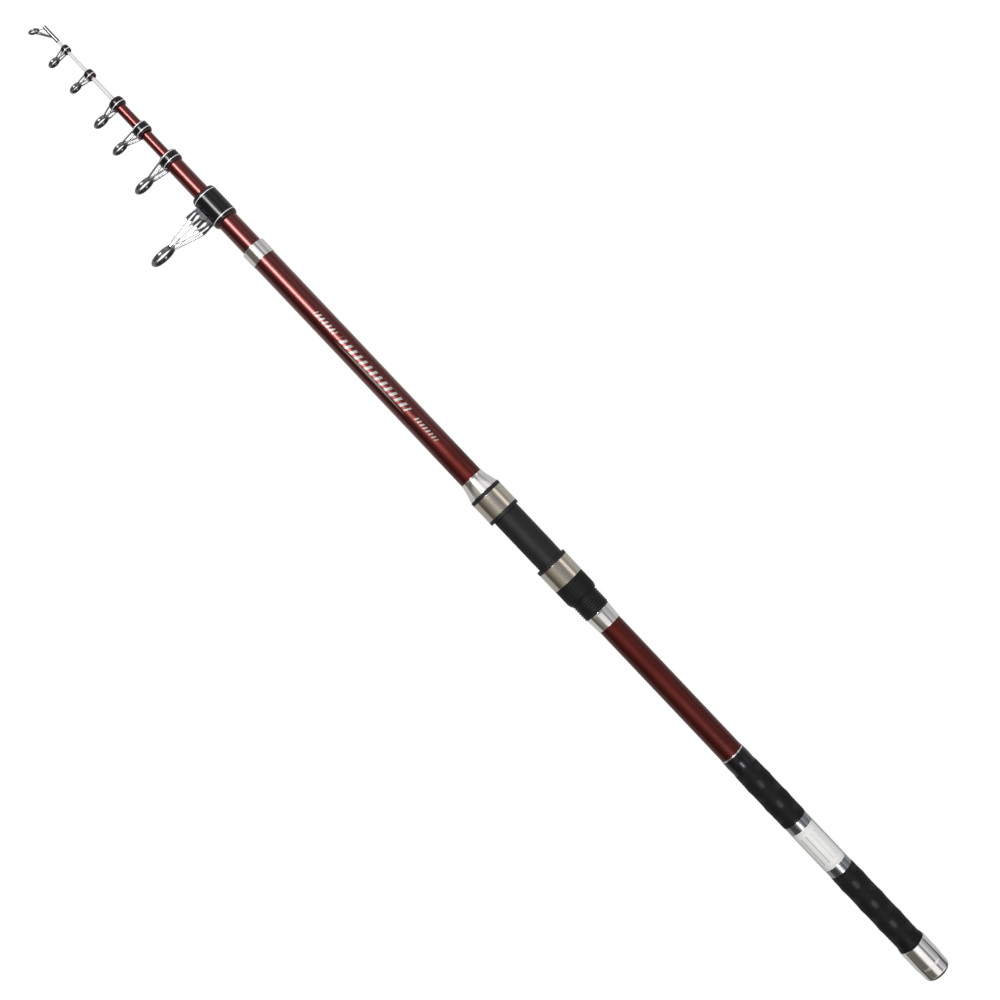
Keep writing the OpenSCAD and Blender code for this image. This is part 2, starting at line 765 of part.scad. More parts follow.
module guide_frame(i) {
  g = guides[i - 1];
  color([0.70, 0.71, 0.73])
    difference() {
      union() {
        along_x(g[0] + tube_inset, g[1] - 2 * tube_inset, g[3] + guide_tube);
        legs(i, 0);
        hoop(g[4], g[5], hoop_width(g[6]), g[6], g[6] - hoop_wall(g[6]));
      }
      along_x(g[0] - cut, g[1] + 2 * cut, g[3]);
      translate([g[4] - g[6], g[5], 0])
        along_x(0, 2 * g[6], g[6] - hoop_wall(g[6]));
    }
}

module guide_insert(i) {
  g = guides[i - 1];
  insert_ring(g[4], g[5], g[6], hoop_width(g[6]), 0);
}

// Whipping and varnish over the carrying tube, with coned ends and a groove for each bright band
module guide_collar(i) {
  g = guides[i - 1];
  end = g[0] + g[1];
  taper = min(collar_taper, g[1] / 4);
  bore = g[3] + guide_tube + seat_fit;
  low = bore + varnish_edge;
  color([0.03, 0.03, 0.035])
    difference() {
      turned([
        [g[0], bore], [g[0], low], [g[0] + taper / 2, (low + 4 * g[2]) / 5], [g[0] + taper, g[2]],
        [end - taper, g[2]], [end, (g[2] + low) / 2], [end, bore]
      ]);
      for (b = g[7])
        hoop(g[0] + b * g[1], 0, band_w, g[2] + cut, g[2] - band_depth);
      legs(i, seat_fit);
    }
}

module guide_bands(i) {
  g = guides[i - 1];
  color([0.88, 0.88, 0.86])
    difference() {
      for (b = g[7])
        hoop(g[0] + b * g[1], 0, band_w - 2 * seat_fit, g[2] + band_proud, g[2] - band_depth + seat_fit);
      legs(i, seat_fit);
    }
}

// Tip ring on its tube, with a front leg and two side braces
module tip_frame() {
  ring_mid = tip_ring_r - hoop_wall(tip_ring_r) / 2;
  ring_bore = tip_ring_r - hoop_wall(tip_ring_r);
  bore = tip_r(tip_tube_x) + glue_gap;
  color([0.70, 0.71, 0.73])
    difference() {
      union() {
        along_x(tip_tube_x, tip_tube_len, bore + guide_tube);
        translate([tip_ring_x, tip_ring_height, 0])
          rotate([0, 0, -tip_ring_lean])
            hoop(0, 0, tip_hoop_width, tip_ring_r, ring_bore);
        wire(
          [tip_top_x - cut, 0, 0],
          [
            tip_ring_x - ring_mid * sin(tip_ring_lean),
            tip_ring_height - ring_mid * cos(tip_ring_lean),
            0
          ],
          tip_leg_r
        );
        for (side = [-1, 1])
          wire(
            [tip_tube_x + brace_at, 0, side * brace_r],
            [tip_ring_x, tip_ring_height, side * ring_mid],
            brace_r
          );
      }
      along_x(tip_tube_x - cut, tip_tube_len - tip_seat + cut, bore);
      translate([tip_ring_x, tip_ring_height, 0])
        rotate([0, 0, -tip_ring_lean])
          along_x(-tip_ring_r, 2 * tip_ring_r, ring_bore);
    }
}

module tip_insert() {
  insert_ring(tip_ring_x, tip_ring_height, tip_ring_r, tip_hoop_width, tip_ring_lean);
}

butt_blank();
butt_thread_sleeve();
butt_whipping();
lower_grip();
grip_band();
bare_label();
upper_grip();
grip_whipping();
grip_ring();
seat_ring();
reel_seat();
fixed_hood_sleeve();
seat_cone();
top_ferrule();
moving_hood();
moving_hood_sleeve();
lock_nut();
butt_pad();
butt_cap();
second_blank();
third_blank();
fourth_blank();
tip_blank();
for (i = [1 : len(guides)]) {
  guide_frame(i);
  guide_insert(i);
  guide_collar(i);
  guide_bands(i);
}
tip_frame();
tip_insert();
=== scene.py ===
# %% [markdown]
# # A telescopic surf rod, closed
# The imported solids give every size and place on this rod. Here they get their looks: smooth
# surfaces worked out with numpy, finishes made from shader nodes, and a plain studio.
# Each step says what the piece is on a real rod before it makes it.

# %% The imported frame
import json

import bmesh
import bpy
import numpy as np
from mathutils import Matrix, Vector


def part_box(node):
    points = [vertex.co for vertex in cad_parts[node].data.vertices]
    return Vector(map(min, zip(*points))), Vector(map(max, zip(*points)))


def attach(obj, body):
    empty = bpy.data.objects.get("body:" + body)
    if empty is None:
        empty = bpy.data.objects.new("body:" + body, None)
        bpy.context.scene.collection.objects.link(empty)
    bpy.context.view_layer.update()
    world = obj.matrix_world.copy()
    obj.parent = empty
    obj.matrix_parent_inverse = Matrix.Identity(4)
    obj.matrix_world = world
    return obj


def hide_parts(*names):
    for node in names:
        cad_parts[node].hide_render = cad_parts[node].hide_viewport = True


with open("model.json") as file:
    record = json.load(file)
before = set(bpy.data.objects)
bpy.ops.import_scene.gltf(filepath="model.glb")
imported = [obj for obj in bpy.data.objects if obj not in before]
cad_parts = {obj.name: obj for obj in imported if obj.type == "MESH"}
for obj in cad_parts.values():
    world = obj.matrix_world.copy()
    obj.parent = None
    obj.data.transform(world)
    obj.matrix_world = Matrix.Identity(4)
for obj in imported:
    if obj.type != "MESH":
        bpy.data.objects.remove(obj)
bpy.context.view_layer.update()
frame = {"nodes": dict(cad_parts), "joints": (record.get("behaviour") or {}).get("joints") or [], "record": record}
MM = 0.001

# %% [markdown]
# ## Camera
# The rod lies on a table and is seen from straight above, turned so that it runs from corner to
# corner of the picture. A camera can be aimed with angles, but here the directions of the
# picture's right and top edges are known, so they go into its matrix as columns.

# %% Camera above the rod
picture_right = np.array([-0.68748, -0.72620, 0.0])
picture_up = np.array([0.72620, -0.68748, 0.0])
eye = np.array([0.5588, -0.005, 1.278])
axes = np.column_stack([picture_right, picture_up, [0.0, 0.0, 1.0], eye])
camera_data = bpy.data.cameras.new("camera")
camera_data.lens = 53.05
camera_data.sensor_width = 36.0
camera_data.clip_end = 50.0
camera = bpy.data.objects.new("camera", camera_data)
camera.matrix_world = Matrix(np.vstack([axes, [0, 0, 0, 1]]).tolist())
bpy.context.scene.collection.objects.link(camera)
bpy.context.scene.camera = camera
bpy.context.scene.view_settings.view_transform = "Standard"
print("camera at", eye, "with a lens of", camera_data.lens, "mm")

# %% [markdown]
# ## Shader arithmetic
# A finish is a graph of nodes. Wiring nodes by hand hides the idea, so a small class wraps a
# socket and lets Python's own operators add the Math nodes. One method adds any other node.


# %% Sockets that do arithmetic
class Field:
    """One output socket; arithmetic on it adds Math nodes to its graph."""

    def __init__(self, graph, socket):
        self.graph, self.socket = graph, socket

    def math(self, operation, *terms):
        return self.graph.node("Math", {"operation": operation}, dict(enumerate(terms)))

    def other(self, name):
        """Another output of the same node."""
        return Field(self.graph, self.socket.node.outputs[name])

    def __add__(self, term):
        return self.math("ADD", self, term)

    def __sub__(self, term):
        return self.math("SUBTRACT", self, term)

    def __rsub__(self, term):
        return self.math("SUBTRACT", term, self)

    def __mul__(self, term):
        return self.math("MULTIPLY", self, term)

    def __truediv__(self, term):
        return self.math("DIVIDE", self, term)

    def __mod__(self, term):
        return self.math("FLOORED_MODULO", self, term)

    def __abs__(self):
        return self.math("ABSOLUTE", self)

    __radd__ = __add__
    __rmul__ = __mul__


class Graph:
    """The nodes of a material or of the world."""

    def __init__(self, tree):
        self.tree = tree
        tree.nodes.clear()

    def node(self, kind, settings=None, sockets=None, out=0):
        """Add a node, set its settings, fill or link its sockets, and return one output."""
        made = self.tree.nodes.new("ShaderNode" + kind)
        for key, value in (settings or {}).items():
            if key == "stops":
                ramp = made.color_ramp
                ramp.elements[0].position, ramp.elements[-1].position = value[0][0], value[-1][0]
                stops = [ramp.elements[0], *[ramp.elements.new(s[0]) for s in value[1:-1]]]
                for stop, (place, _) in zip(stops[1:], value[1:-1]):
                    stop.position = place
                for stop, (_, colour) in zip(ramp.elements, value):
                    stop.color = (*colour, 1.0)
            else:
                setattr(made, key, value)
        for key, value in (sockets or {}).items():
            target = made.inputs[key]
            if isinstance(value, Field):
                self.tree.links.new(value.socket, target)
            elif target.type == "RGBA":
                target.default_value = (*value, 1.0)
            else:
                target.default_value = value
        return Field(self, made.outputs[out]) if made.outputs else None

    def mix(self, share, first, second):
        """A colour that goes from the first to the second as share goes from 0 to 1."""
        return self.node("Mix", {"data_type": "RGBA"}, {0: share, 6: first, 7: second}, 2)

    def rise(self, value, low, high):
        """0 below low, 1 above high, and a smooth step between them."""
        sockets = {"Value": value, "From Min": low, "From Max": high}
        return self.node("MapRange", {"interpolation_type": "SMOOTHSTEP"}, sockets)

    def stretch(self, vector, factors):
        """A vector with each of its parts multiplied."""
        return self.node("VectorMath", {"operation": "MULTIPLY"}, {0: vector, 1: factors})

    def noise(self, vector, scale, detail):
        """Smooth random values from 0 to 1."""
        sockets = {"Vector": vector, "Scale": scale, "Detail": detail}
        return self.node("TexNoise", {}, sockets)

    def bump(self, height, depth):
        """A normal that leans as a surface of that height would, depth in metres."""
        return self.node("Bump", {}, {"Height": height, "Distance": depth})


class Finish(Graph):
    """A material with one Principled shader."""

    def __init__(self, name):
        self.material = bpy.data.materials.new(name)
        self.material.use_nodes = True
        super().__init__(self.material.node_tree)
        self.place = self.node("TexCoord", out="Object")
        along = self.node("SeparateXYZ", {}, {0: self.place})
        self.x, self.y, self.z = along, along.other("Y"), along.other("Z")
        self.turn = self.y.math("ARCTAN2", self.y, self.z)

    def surface(self, **sockets):
        """Finish the graph: names use _ for a space, and plain numbers hold all over."""
        named = {key.replace("_", " "): value for key, value in sockets.items()}
        shader = self.node("BsdfPrincipled", {}, named)
        self.node("OutputMaterial", {}, {"Surface": shader})
        print("finish", self.material.name, "has", len(self.tree.nodes), "nodes")
        return self.material


# %% [markdown]
# ## Floor and light
# A bright table under long soft lights gives polished tubes their lengthwise bands: a tube
# mirrors what lies across it, so the world here is a set of strips that run along the rod.
# Its colour depends on the angle round the rod: bright overhead, dark brown on the side of the
# guides, grey on the far side. There are three sets of strips along the rod: over the seat,
# over the two ends, and past the ends. The floor is white to the eye and grey in reflections,
# keeps the rod's shadow, and throws little light back up, so the rod's lower flanks stay dark.
# Past the butt it mirrors dark, which draws a line round the nose of the cap.

# %% Floor
AIR_UNDER = 0.2 * MM
floor_z = float(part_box("fixed_hood_sleeve")[0][2]) - AIR_UNDER
floor_mesh = bpy.data.meshes.new("table")
corners = [(x, y, floor_z) for x, y in ((-9.0, -9.0), (10.0, -9.0), (10.0, 9.0), (-9.0, 9.0))]
floor_mesh.from_pydata(corners, [], [(0, 1, 2, 3)])
table = bpy.data.objects.new("table", floor_mesh)
bpy.context.scene.collection.objects.link(table)
paint = bpy.data.materials.new("white table")
paint.use_nodes = True
graph = Graph(paint.node_tree)
rays = graph.node("LightPath", out="Is Camera Ray")
seen = rays.math("MAXIMUM", rays, rays.other("Is Transmission Ray"))
dull = graph.node("BsdfDiffuse", {}, {"Color": (0.22, 0.22, 0.22)})
along_table = graph.node("SeparateXYZ", {}, {0: graph.node("TexCoord", out="Object")})
mirrored = graph.mix(graph.rise(along_table, -0.05, 0.0), (0.06, 0.06, 0.06), (0.57, 0.57, 0.56))
sheen = graph.node("Emission", {}, {"Color": mirrored, "Strength": 1.0})
lit = graph.node("BsdfDiffuse", {}, {"Color": (0.10, 0.10, 0.10)})
glow = graph.node("Emission", {}, {"Color": (1.0, 1.0, 1.0), "Strength": 0.93})
white = graph.node("AddShader", {}, {0: lit, 1: glow})
other = graph.node("MixShader", {}, {0: rays.other("Is Glossy Ray"), 1: dull, 2: sheen})
top_coat = graph.node("MixShader", {}, {0: seen, 1: other, 2: white})
graph.node("OutputMaterial", {}, {"Surface": top_coat})
floor_mesh.materials.append(paint)
print("table lies at", round(floor_z / MM, 2), "mm")

# %% Strip world
world = bpy.data.worlds.new("strips")
world.use_nodes = True
bpy.context.scene.world = world
graph = Graph(world.node_tree)
look = graph.node("SeparateXYZ", {}, {0: graph.node("TexCoord", out="Generated")})
across = look.math("ARCTAN2", look.other("Y"), look.other("Z")) / (2 * np.pi) + 0.5
COOL, PLAIN, WARM = (1.0, 0.985, 1.03), (1.0, 1.0, 1.0), (1.06, 1.0, 0.90)


def strips(levels):
    """Ramp stops from (angle in degrees, level): cool on the far side, warm on the near one."""
    def tint(angle):
        return COOL if angle < -20 else WARM if angle > 25 else PLAIN
    return [(a / 360 + 0.5, tuple(level * c for c in tint(a))) for a, level in levels]


over_ends = strips([
    (-180, 0.4), (-90, 0.33), (-72, 0.43), (-60, 0.54), (-46, 0.74), (-35, 0.27), (-26, 0.25),
    (-18, 1.02), (19, 1.02), (29, 0.27), (40, 0.14), (64, 0.13), (84, 0.15), (93, 0.24),
    (180, 0.4)])
over_seat = strips([
    (-180, 0.4), (-90, 0.38), (-66, 0.42), (-42, 0.38), (-27, 0.28), (-12, 0.25), (3, 0.26),
    (14, 0.44), (27, 0.44), (40, 0.36), (54, 0.24), (68, 0.12), (84, 0.08), (93, 0.25),
    (180, 0.4)])
past_ends = strips([
    (-180, 0.4), (-90, 0.62), (-60, 0.85), (-40, 0.95), (-30, 0.62), (-18, 1.0), (19, 1.0),
    (32, 0.45), (50, 0.38), (64, 0.26), (84, 0.32), (93, 0.50), (180, 0.4)])
seat_sky, end_sky, past_sky = (graph.node("ValToRGB", {"stops": stops}, {0: across})
                               for stops in (over_seat, over_ends, past_ends))
ends = graph.rise(look * -1.0, 0.195, 0.220) + graph.rise(look, 0.045, 0.085)
past = graph.rise(look, 0.41, 0.46) + graph.rise(look * -1.0, 0.56, 0.60)
sky = graph.mix(past, graph.mix(ends, seat_sky, end_sky), past_sky)
sky = graph.mix(graph.rise(abs(look), 0.80, 0.88), sky, (0.05, 0.05, 0.05))
sky = graph.mix(graph.node("LightPath", out="Is Camera Ray"), sky, (0.98, 0.98, 0.98))
dome = graph.node("Background", {}, {"Color": sky, "Strength": 1.0})
graph.node("OutputWorld", {}, {"Surface": dome})
print("world has", len(over_ends) + len(over_seat) + len(past_ends), "strips")


# %% Lamps
def lamp(name, centre, length, width, level, tint=(1.0, 1.0, 1.0)):
    """A flat lamp along the rod, facing its axis, of a given brightness: power = pi L area."""
    data = bpy.data.lights.new(name, "AREA")
    data.shape = "RECTANGLE"
    data.size, data.size_y = length, width
    data.color = tint
    data.energy = np.pi * level * length * width
    back = np.array([0.0, centre[1], centre[2]])
    back /= np.linalg.norm(back)
    side = np.cross(back, [1.0, 0.0, 0.0])
    made = bpy.data.objects.new(name, data)
    turn = np.column_stack([[1.0, 0.0, 0.0], side, back, centre])
    made.matrix_world = Matrix(np.vstack([turn, [0, 0, 0, 1]]).tolist())
    bpy.context.scene.collection.objects.link(made)
    print(name, "of", round(data.energy, 2), "W")


lamp("long lamp over the tip", (1.455, 0.25, 1.70), 1.05, 0.52, 16.0)
lamp("lamp over the butt", (-0.42, 0.06, 1.70), 0.22, 0.40, 15.0, (0.95, 1.0, 1.0))
lamp("warm card by the seat", (0.47, -1.27, 0.82), 0.34, 0.52, 1.1, (1.0, 0.93, 0.80))

# %% [markdown]
# ## Finishes
# Each finish is one formula over the piece's own coordinates. Along a rod, most real textures
# are stretched: fibres run lengthwise, lathe lines and brushing run round, so the same noise
# is squeezed along one axis or the other.


# %% Burgundy varnish
# The silver flash, in mm: blocks of slanted bars as (start, end, pitch, half height), and the
# middle, half length, place round the tube and half width of the crescent beside them
BAR_BLOCKS = ((633.0, 661.0, 3.6, 1.7), (669.0, 755.0, 6.2, 3.0), (760.0, 785.0, 4.2, 2.3))
BAR_SLANT, BAR_SHIFT = 0.5, 0.8
CRESCENT, CRESCENT_HALF, CRESCENT_ROUND, CRESCENT_WIDE = 712.0, 46.0, 3.9, 0.85
# The tube's radius, the pitch of its wrap, and where rubbed varnish with its painted shade ends and clear starts,
# in mm
BLANK_R, WRAP_PITCH, RUBBED_AND_SHADED_TO, CLEAR_FROM = 11.0, 7.5, 605.0, 655.0


def burgundy(name, flashed=False):
    """Metallic red under clear varnish. The butt tube carries a plain silver flash, and below it
    the varnish is rubbed dull by the hands, and its red is darkened there as painted shade."""
    f = Finish(name)
    fibre = f.noise(f.stretch(f.place, (14.0, 900.0, 900.0)), 1.0, 3.0)
    cloud = f.noise(f.place, 38.0, 3.0)
    flake = f.rise(f.noise(f.place, 1900.0, 1.0), 0.58, 0.74)
    colour = f.mix(fibre * 0.5 + cloud * 0.5, (0.104, 0.0079, 0.0070), (0.156, 0.0125, 0.0107))
    colour = f.mix(flake * 0.15, colour, (0.26, 0.032, 0.028))
    rough = 0.26 + cloud * 0.08 - flake * 0.05
    clear = 0.75 + cloud * 0.2
    metal = 1.0 - 0.05 * cloud
    wrap = (f.x / (WRAP_PITCH * MM) + f.turn / (2 * np.pi)) % 1.0
    if flashed:
        arc = f.turn * BLANK_R
        height = arc + BAR_SHIFT
        slanted = f.x / MM - height * BAR_SLANT
        sweep = (f.x / MM - CRESCENT) / CRESCENT_HALF
        bow = sweep * sweep
        edge = abs(arc - CRESCENT_ROUND - bow * 0.8) - CRESCENT_WIDE * (1.0 - bow)
        silver = (1.0 - f.rise(edge, -0.15, 0.15)) * (1.0 - f.rise(abs(sweep), 0.90, 1.0)) * 0.6
        for first, last, pitch, half in BAR_BLOCKS:
            inside = f.rise(slanted, first, first + 0.4) * (1.0 - f.rise(slanted, last, last + 0.4))
            bar = f.rise(abs((slanted / pitch) % 1.0 - 0.5), 0.25, 0.30)
            silver = silver + inside * bar * (1.0 - f.rise(abs(height), half, half + 0.3))
        silver = silver * (0.55 + 0.35 * fibre)
        colour = f.mix(silver, colour, (0.46, 0.51, 0.48))
        rough = rough + silver * 0.25
        metal = 1.0 - silver * 0.8
        rubbed = 1.0 - f.rise(f.x, RUBBED_AND_SHADED_TO * MM, CLEAR_FROM * MM)
        # Below the flash the varnish is rougher and thinner from rubbing, which is wear, and its red is darker,
        # which is painted shade
        dull = f.mix(cloud, (0.078, 0.0070, 0.0046), (0.112, 0.0106, 0.0074))
        colour = f.mix(rubbed, colour, dull)
        rough = rough + rubbed * 0.20
        clear = clear * (1.0 - rubbed * 0.50)
    normal = f.bump(abs(wrap - 0.5) * 0.6 + f.noise(f.place, 420.0, 2.0), 0.0000015)
    return f.surface(Base_Color=colour, Roughness=rough, Metallic=metal, Normal=normal,
                     Coat_Weight=clear, Coat_Roughness=0.20, Coat_IOR=1.55)


# %% Polished and brushed metals
def polished(name, colour, low, lines=5200.0, depth=0.0000035):
    """Turned metal: fine lathe lines round the axis, soft smears and a few scratches."""
    f = Finish(name)
    line = f.noise(f.stretch(f.place, (lines, 40.0, 40.0)), 1.0, 2.0)
    smear = f.noise(f.place, 60.0, 3.0)
    scratch = f.rise(f.noise(f.stretch(f.place, (60.0, 2600.0, 2600.0)), 1.0, 1.0), 0.74, 0.80)
    tone = f.mix(smear * 0.7 + line * 0.3, tuple(0.90 * c for c in colour), colour)
    rough = low + 0.10 * smear * line + 0.14 * scratch
    normal = f.bump(line - 0.4 * scratch, depth)
    return f.surface(Base_Color=tone, Roughness=rough, Metallic=1.0, Normal=normal)


# %% Black rubber, moulding and varnish
# Swells in one turn round a grip, and the pitch of whipping thread in metres
SWELLS_ROUND, WHIPPING_PITCH = 4, 0.36 * MM


def rubber(name, shade, grain, low=0.56, depth=0.00004, gloss=0.45, wear=0.0):
    """Soft rubber: a pebbled skin, dusty highlights and pores, worn smooth on its crests,
    most of all along the top, where the thumb lies."""
    f = Finish(name)
    wave = f.node("Attribute", {"attribute_name": "cover"}, {}, "Fac")
    top = 0.4 + 0.6 * f.rise(wave.math("COSINE", f.turn), 0.75, 0.95)
    crest = f.rise(wave * wave.math("COSINE", f.turn * SWELLS_ROUND), 0.2, 1.0) * top
    pebble = f.noise(f.place, grain, 3.0)
    pore = f.rise(f.noise(f.place, grain * 2.2, 1.0), 0.62, 0.74)
    dust = f.noise(f.stretch(f.place, (30.0, 90.0, 90.0)), 1.0, 3.0)
    tone = f.mix(dust, tuple(0.75 * s for s in shade), tuple(1.35 * s for s in shade))
    tone = f.mix(pore * 0.6, tone, tuple(0.4 * s for s in shade))
    rough = low + 0.08 * dust + 0.10 * pore
    normal = f.bump(pebble - 0.7 * pore, depth)
    return f.surface(Base_Color=tone, Roughness=rough, Normal=normal, Specular_IOR_Level=gloss,
                     Coat_Weight=crest * wear, Coat_Roughness=0.42, Coat_IOR=1.55)


def moulding(name, gloss):
    """Matt black nylon: fine spark grain, slightly rubbed bright in places."""
    f = Finish(name)
    grain = f.noise(f.place, 2600.0, 2.0)
    rub = f.rise(f.noise(f.place, 46.0, 4.0), 0.50, 0.78)
    tone = f.mix(rub, (0.0080, 0.0080, 0.0082), (0.0140, 0.0140, 0.0140))
    return f.surface(Base_Color=tone, Roughness=0.46 - 0.10 * rub + 0.08 * grain,
                     Normal=f.bump(grain, 0.00004), Specular_IOR_Level=gloss)


def varnish(name, low=0.12, gloss=0.40):
    """Black whipping thread under thick gloss varnish; it thins to burgundy where it runs out."""
    f = Finish(name)
    cover = f.node("Attribute", {"attribute_name": "cover"}, {}, "Fac")
    thread = abs((f.x / WHIPPING_PITCH + f.turn * 0.16) % 1.0 - 0.5)
    drift = f.noise(f.place, 130.0, 2.0)
    body = f.mix(thread * 1.6, (0.0030, 0.0030, 0.0042), (0.0065, 0.0065, 0.0085))
    thick = f.rise(cover + 0.25 * (drift - 0.5), 0.10, 0.55)
    tone = f.mix(thick, (0.050, 0.0050, 0.0055), body)
    normal = f.bump(drift + 0.10 * thread, 0.00007)
    return f.surface(Base_Color=tone, Roughness=low + 0.08 * drift, Normal=normal,
                     Specular_IOR_Level=gloss)


# %% Tip glass, label, rings and thread bands
def tip_glass(name):
    """White solid glass: long fibres show as faint grey lines under clear varnish."""
    f = Finish(name)
    fibre = f.noise(f.stretch(f.place, (20.0, 3600.0, 3600.0)), 1.0, 2.0)
    tone = f.mix(fibre, (0.50, 0.50, 0.53), (0.64, 0.64, 0.67))
    return f.surface(Base_Color=tone, Roughness=0.32 + 0.12 * fibre, Normal=f.bump(fibre, 0.000004),
                     Specular_IOR_Level=0.2)


# The label's middle along the rod and its radius, in mm, and its ruled lines as (place round
# the label in mm, half width in mm, strength)
LABEL_MIDDLE, LABEL_R = 152.7, 11.84
RULES = ((-6.9, 0.30, 0.45), (-1.7, 0.30, 0.45), (3.5, 0.45, 0.85), (8.9, 0.45, 0.85))


def paper(name):
    """A white label, left bare but for a hairline near each end and four plain ruled lines."""
    f = Finish(name)
    middle = f.x / MM - LABEL_MIDDLE
    arc = f.turn * LABEL_R
    pulp = f.noise(f.place, 1500.0, 3.0)
    shade = f.noise(f.place, 55.0, 3.0)
    hairline = 1.0 - f.rise(abs(abs(middle) - 19.2), 0.10, 0.20)
    short = 1.0 - f.rise(abs(middle), 15.0, 15.2)
    ink = hairline * 0.55
    for height, half, strong in RULES:
        rule = (1.0 - f.rise(abs(arc - height), half, half + 0.25)) * short
        ink = ink.math("MAXIMUM", ink, rule * strong)
    tone = f.mix(shade * 0.6 + pulp * 0.4, (0.68, 0.68, 0.67), (0.80, 0.80, 0.79))
    tone = f.mix(ink * 0.62, tone, (0.20, 0.20, 0.21))
    return f.surface(Base_Color=tone, Roughness=0.42 + 0.2 * pulp, Normal=f.bump(pulp, 0.00001))


def ring_ceramic(name):
    """Dark polished ceramic with a faint blue cast and fine polish marks."""
    f = Finish(name)
    cloud = f.noise(f.place, 420.0, 3.0)
    tone = f.mix(cloud, (0.010, 0.010, 0.012), (0.028, 0.028, 0.033))
    return f.surface(Base_Color=tone, Roughness=0.07 + 0.10 * cloud, Normal=f.bump(cloud, 0.000008))


STRAND_PITCH = 0.30 * MM


def silver_thread(name):
    """Silver trim thread wound round a collar: slanted strands that catch the light."""
    f = Finish(name)
    strand = abs((f.x / STRAND_PITCH + f.turn * 9.0) % 1.0 - 0.5) * 2.0
    tone = f.mix(strand, (0.58, 0.58, 0.57), (0.90, 0.90, 0.88))
    return f.surface(Base_Color=tone, Roughness=0.30 + 0.15 * strand, Metallic=0.35 + 0.2 * strand,
                     Normal=f.bump(strand, 0.00003))


finishes = {
    "butt_varnish": burgundy("burgundy varnish with flash", True),
    "burgundy": burgundy("burgundy varnish"),
    "trim": polished("polished trim", (0.90, 0.89, 0.87), 0.07),
    "hood": polished("brushed hood steel", (0.64, 0.59, 0.51), 0.17, 2600.0),
    "dark": polished("dark sleeve metal", (0.33, 0.36, 0.37), 0.08),
    "steel": polished("guide steel", (0.25, 0.25, 0.27), 0.07, 500.0, 0.0000004),
    "grip": rubber("grip rubber", (0.0066, 0.0066, 0.0066), 1500.0, 0.56, 0.000006, 0.16, 0.65),
    "pad": rubber("pad rubber", (0.035, 0.035, 0.034), 900.0),
    "seat": moulding("seat moulding", 0.3),
    "nut": moulding("nut moulding", 0.14),
    "varnish": varnish("black varnish"),
    "rubbed": varnish("rubbed black varnish", 0.42, 0.18),
    "tip": tip_glass("tip glass"),
    "label": paper("bare label paper"),
    "ceramic": ring_ceramic("ring ceramic"),
    "thread": silver_thread("silver thread"),
}

# %% [markdown]
# ## From grids of points to pieces
# Almost everything on a rod is turned, drawn as wire or stamped from strip. So two kinds of
# grid are enough: an outline carried round an axis, which closes on itself both ways, and a
# section carried along a path, whose two ends close to a point.


# %% Grids
def rounded(points, reach, steps=5):
    """Ease the corners of a closed outline: each becomes a parabola between the points that
    lie reach from it along its two sides, or 0.45 of a side where that is shorter. A guard
    point past each end of a curve keeps the long flats flat when the surface is smoothed."""
    corner = np.asarray(points, float)
    before, after = np.roll(corner, 1, 0) - corner, np.roll(corner, -1, 0) - corner
    size_before = np.linalg.norm(before, axis=1, keepdims=True)
    size_after = np.linalg.norm(after, axis=1, keepdims=True)
    before, after = before / size_before, after / size_after
    start = corner + before * np.minimum(reach, 0.45 * size_before)
    end = corner + after * np.minimum(reach, 0.45 * size_after)
    t = np.linspace(0.0, 1.0, steps)[None, :, None]
    eased = (1 - t) ** 2 * start[:, None] + 2 * t * (1 - t) * corner[:, None] + t**2 * end[:, None]
    guard_in = corner + before * np.minimum(1.3 * reach, 0.48 * size_before)
    guard_out = corner + after * np.minimum(1.3 * reach, 0.48 * size_after)
    return np.concatenate([guard_in[:, None], eased, guard_out[:, None]], 1).reshape(-1, 2)


def turned(outline, around=96, angles=None, radii=None):
    """An outline of (place, radius) carried round the X axis: (x, r sin a, r cos a). Radii may
    be given for each angle and outline point."""
    angle = np.linspace(0.0, 2 * np.pi, around, endpoint=False) if angles is None else angles
    radius = outline[None, :, 1] if radii is None else radii
    x = np.broadcast_to(outline[None, :, 0], (len(angle), len(outline)))
    y = radius * np.sin(angle)[:, None]
    z = radius * np.cos(angle)[:, None]
    return np.stack([x, y, z], -1), True


def carried(sections):
    """Sections along a path, each a closed row of points; both ends close to their middles."""
    ends = np.broadcast_to(sections[[0, -1]].mean(1, keepdims=True), sections[[0, -1]].shape)
    return np.concatenate([ends[:1], sections, ends[1:]]), False


def wire(path, radius, around=18):
    """A circle carried along a path, square to it: p + r (cos a side + sin a up)."""
    along = np.gradient(path, axis=0)
    along /= np.linalg.norm(along, axis=1, keepdims=True)
    side = np.cross(along, [1.0, 0.0, 0.0])
    side /= np.linalg.norm(side, axis=1, keepdims=True)
    up = np.cross(side, along)
    angle = np.linspace(0.0, 2 * np.pi, around, endpoint=False)[None, :, None]
    circle = np.cos(angle) * side[:, None] + np.sin(angle) * up[:, None]
    return carried(path[:, None] + radius * circle)


def bend(a, b, c, d, steps=24):
    """A cubic curve from a to d that leaves towards b and arrives from c."""
    t = np.linspace(0.0, 1.0, steps)[:, None]
    a, b, c, d = (np.asarray(p, float) for p in (a, b, c, d))
    return (1 - t) ** 3 * a + 3 * t * (1 - t) ** 2 * b + 3 * t**2 * (1 - t) * c + t**3 * d


# %% Pieces
# Points nearer than this become one, in metres
SAME_POINT = 2e-7


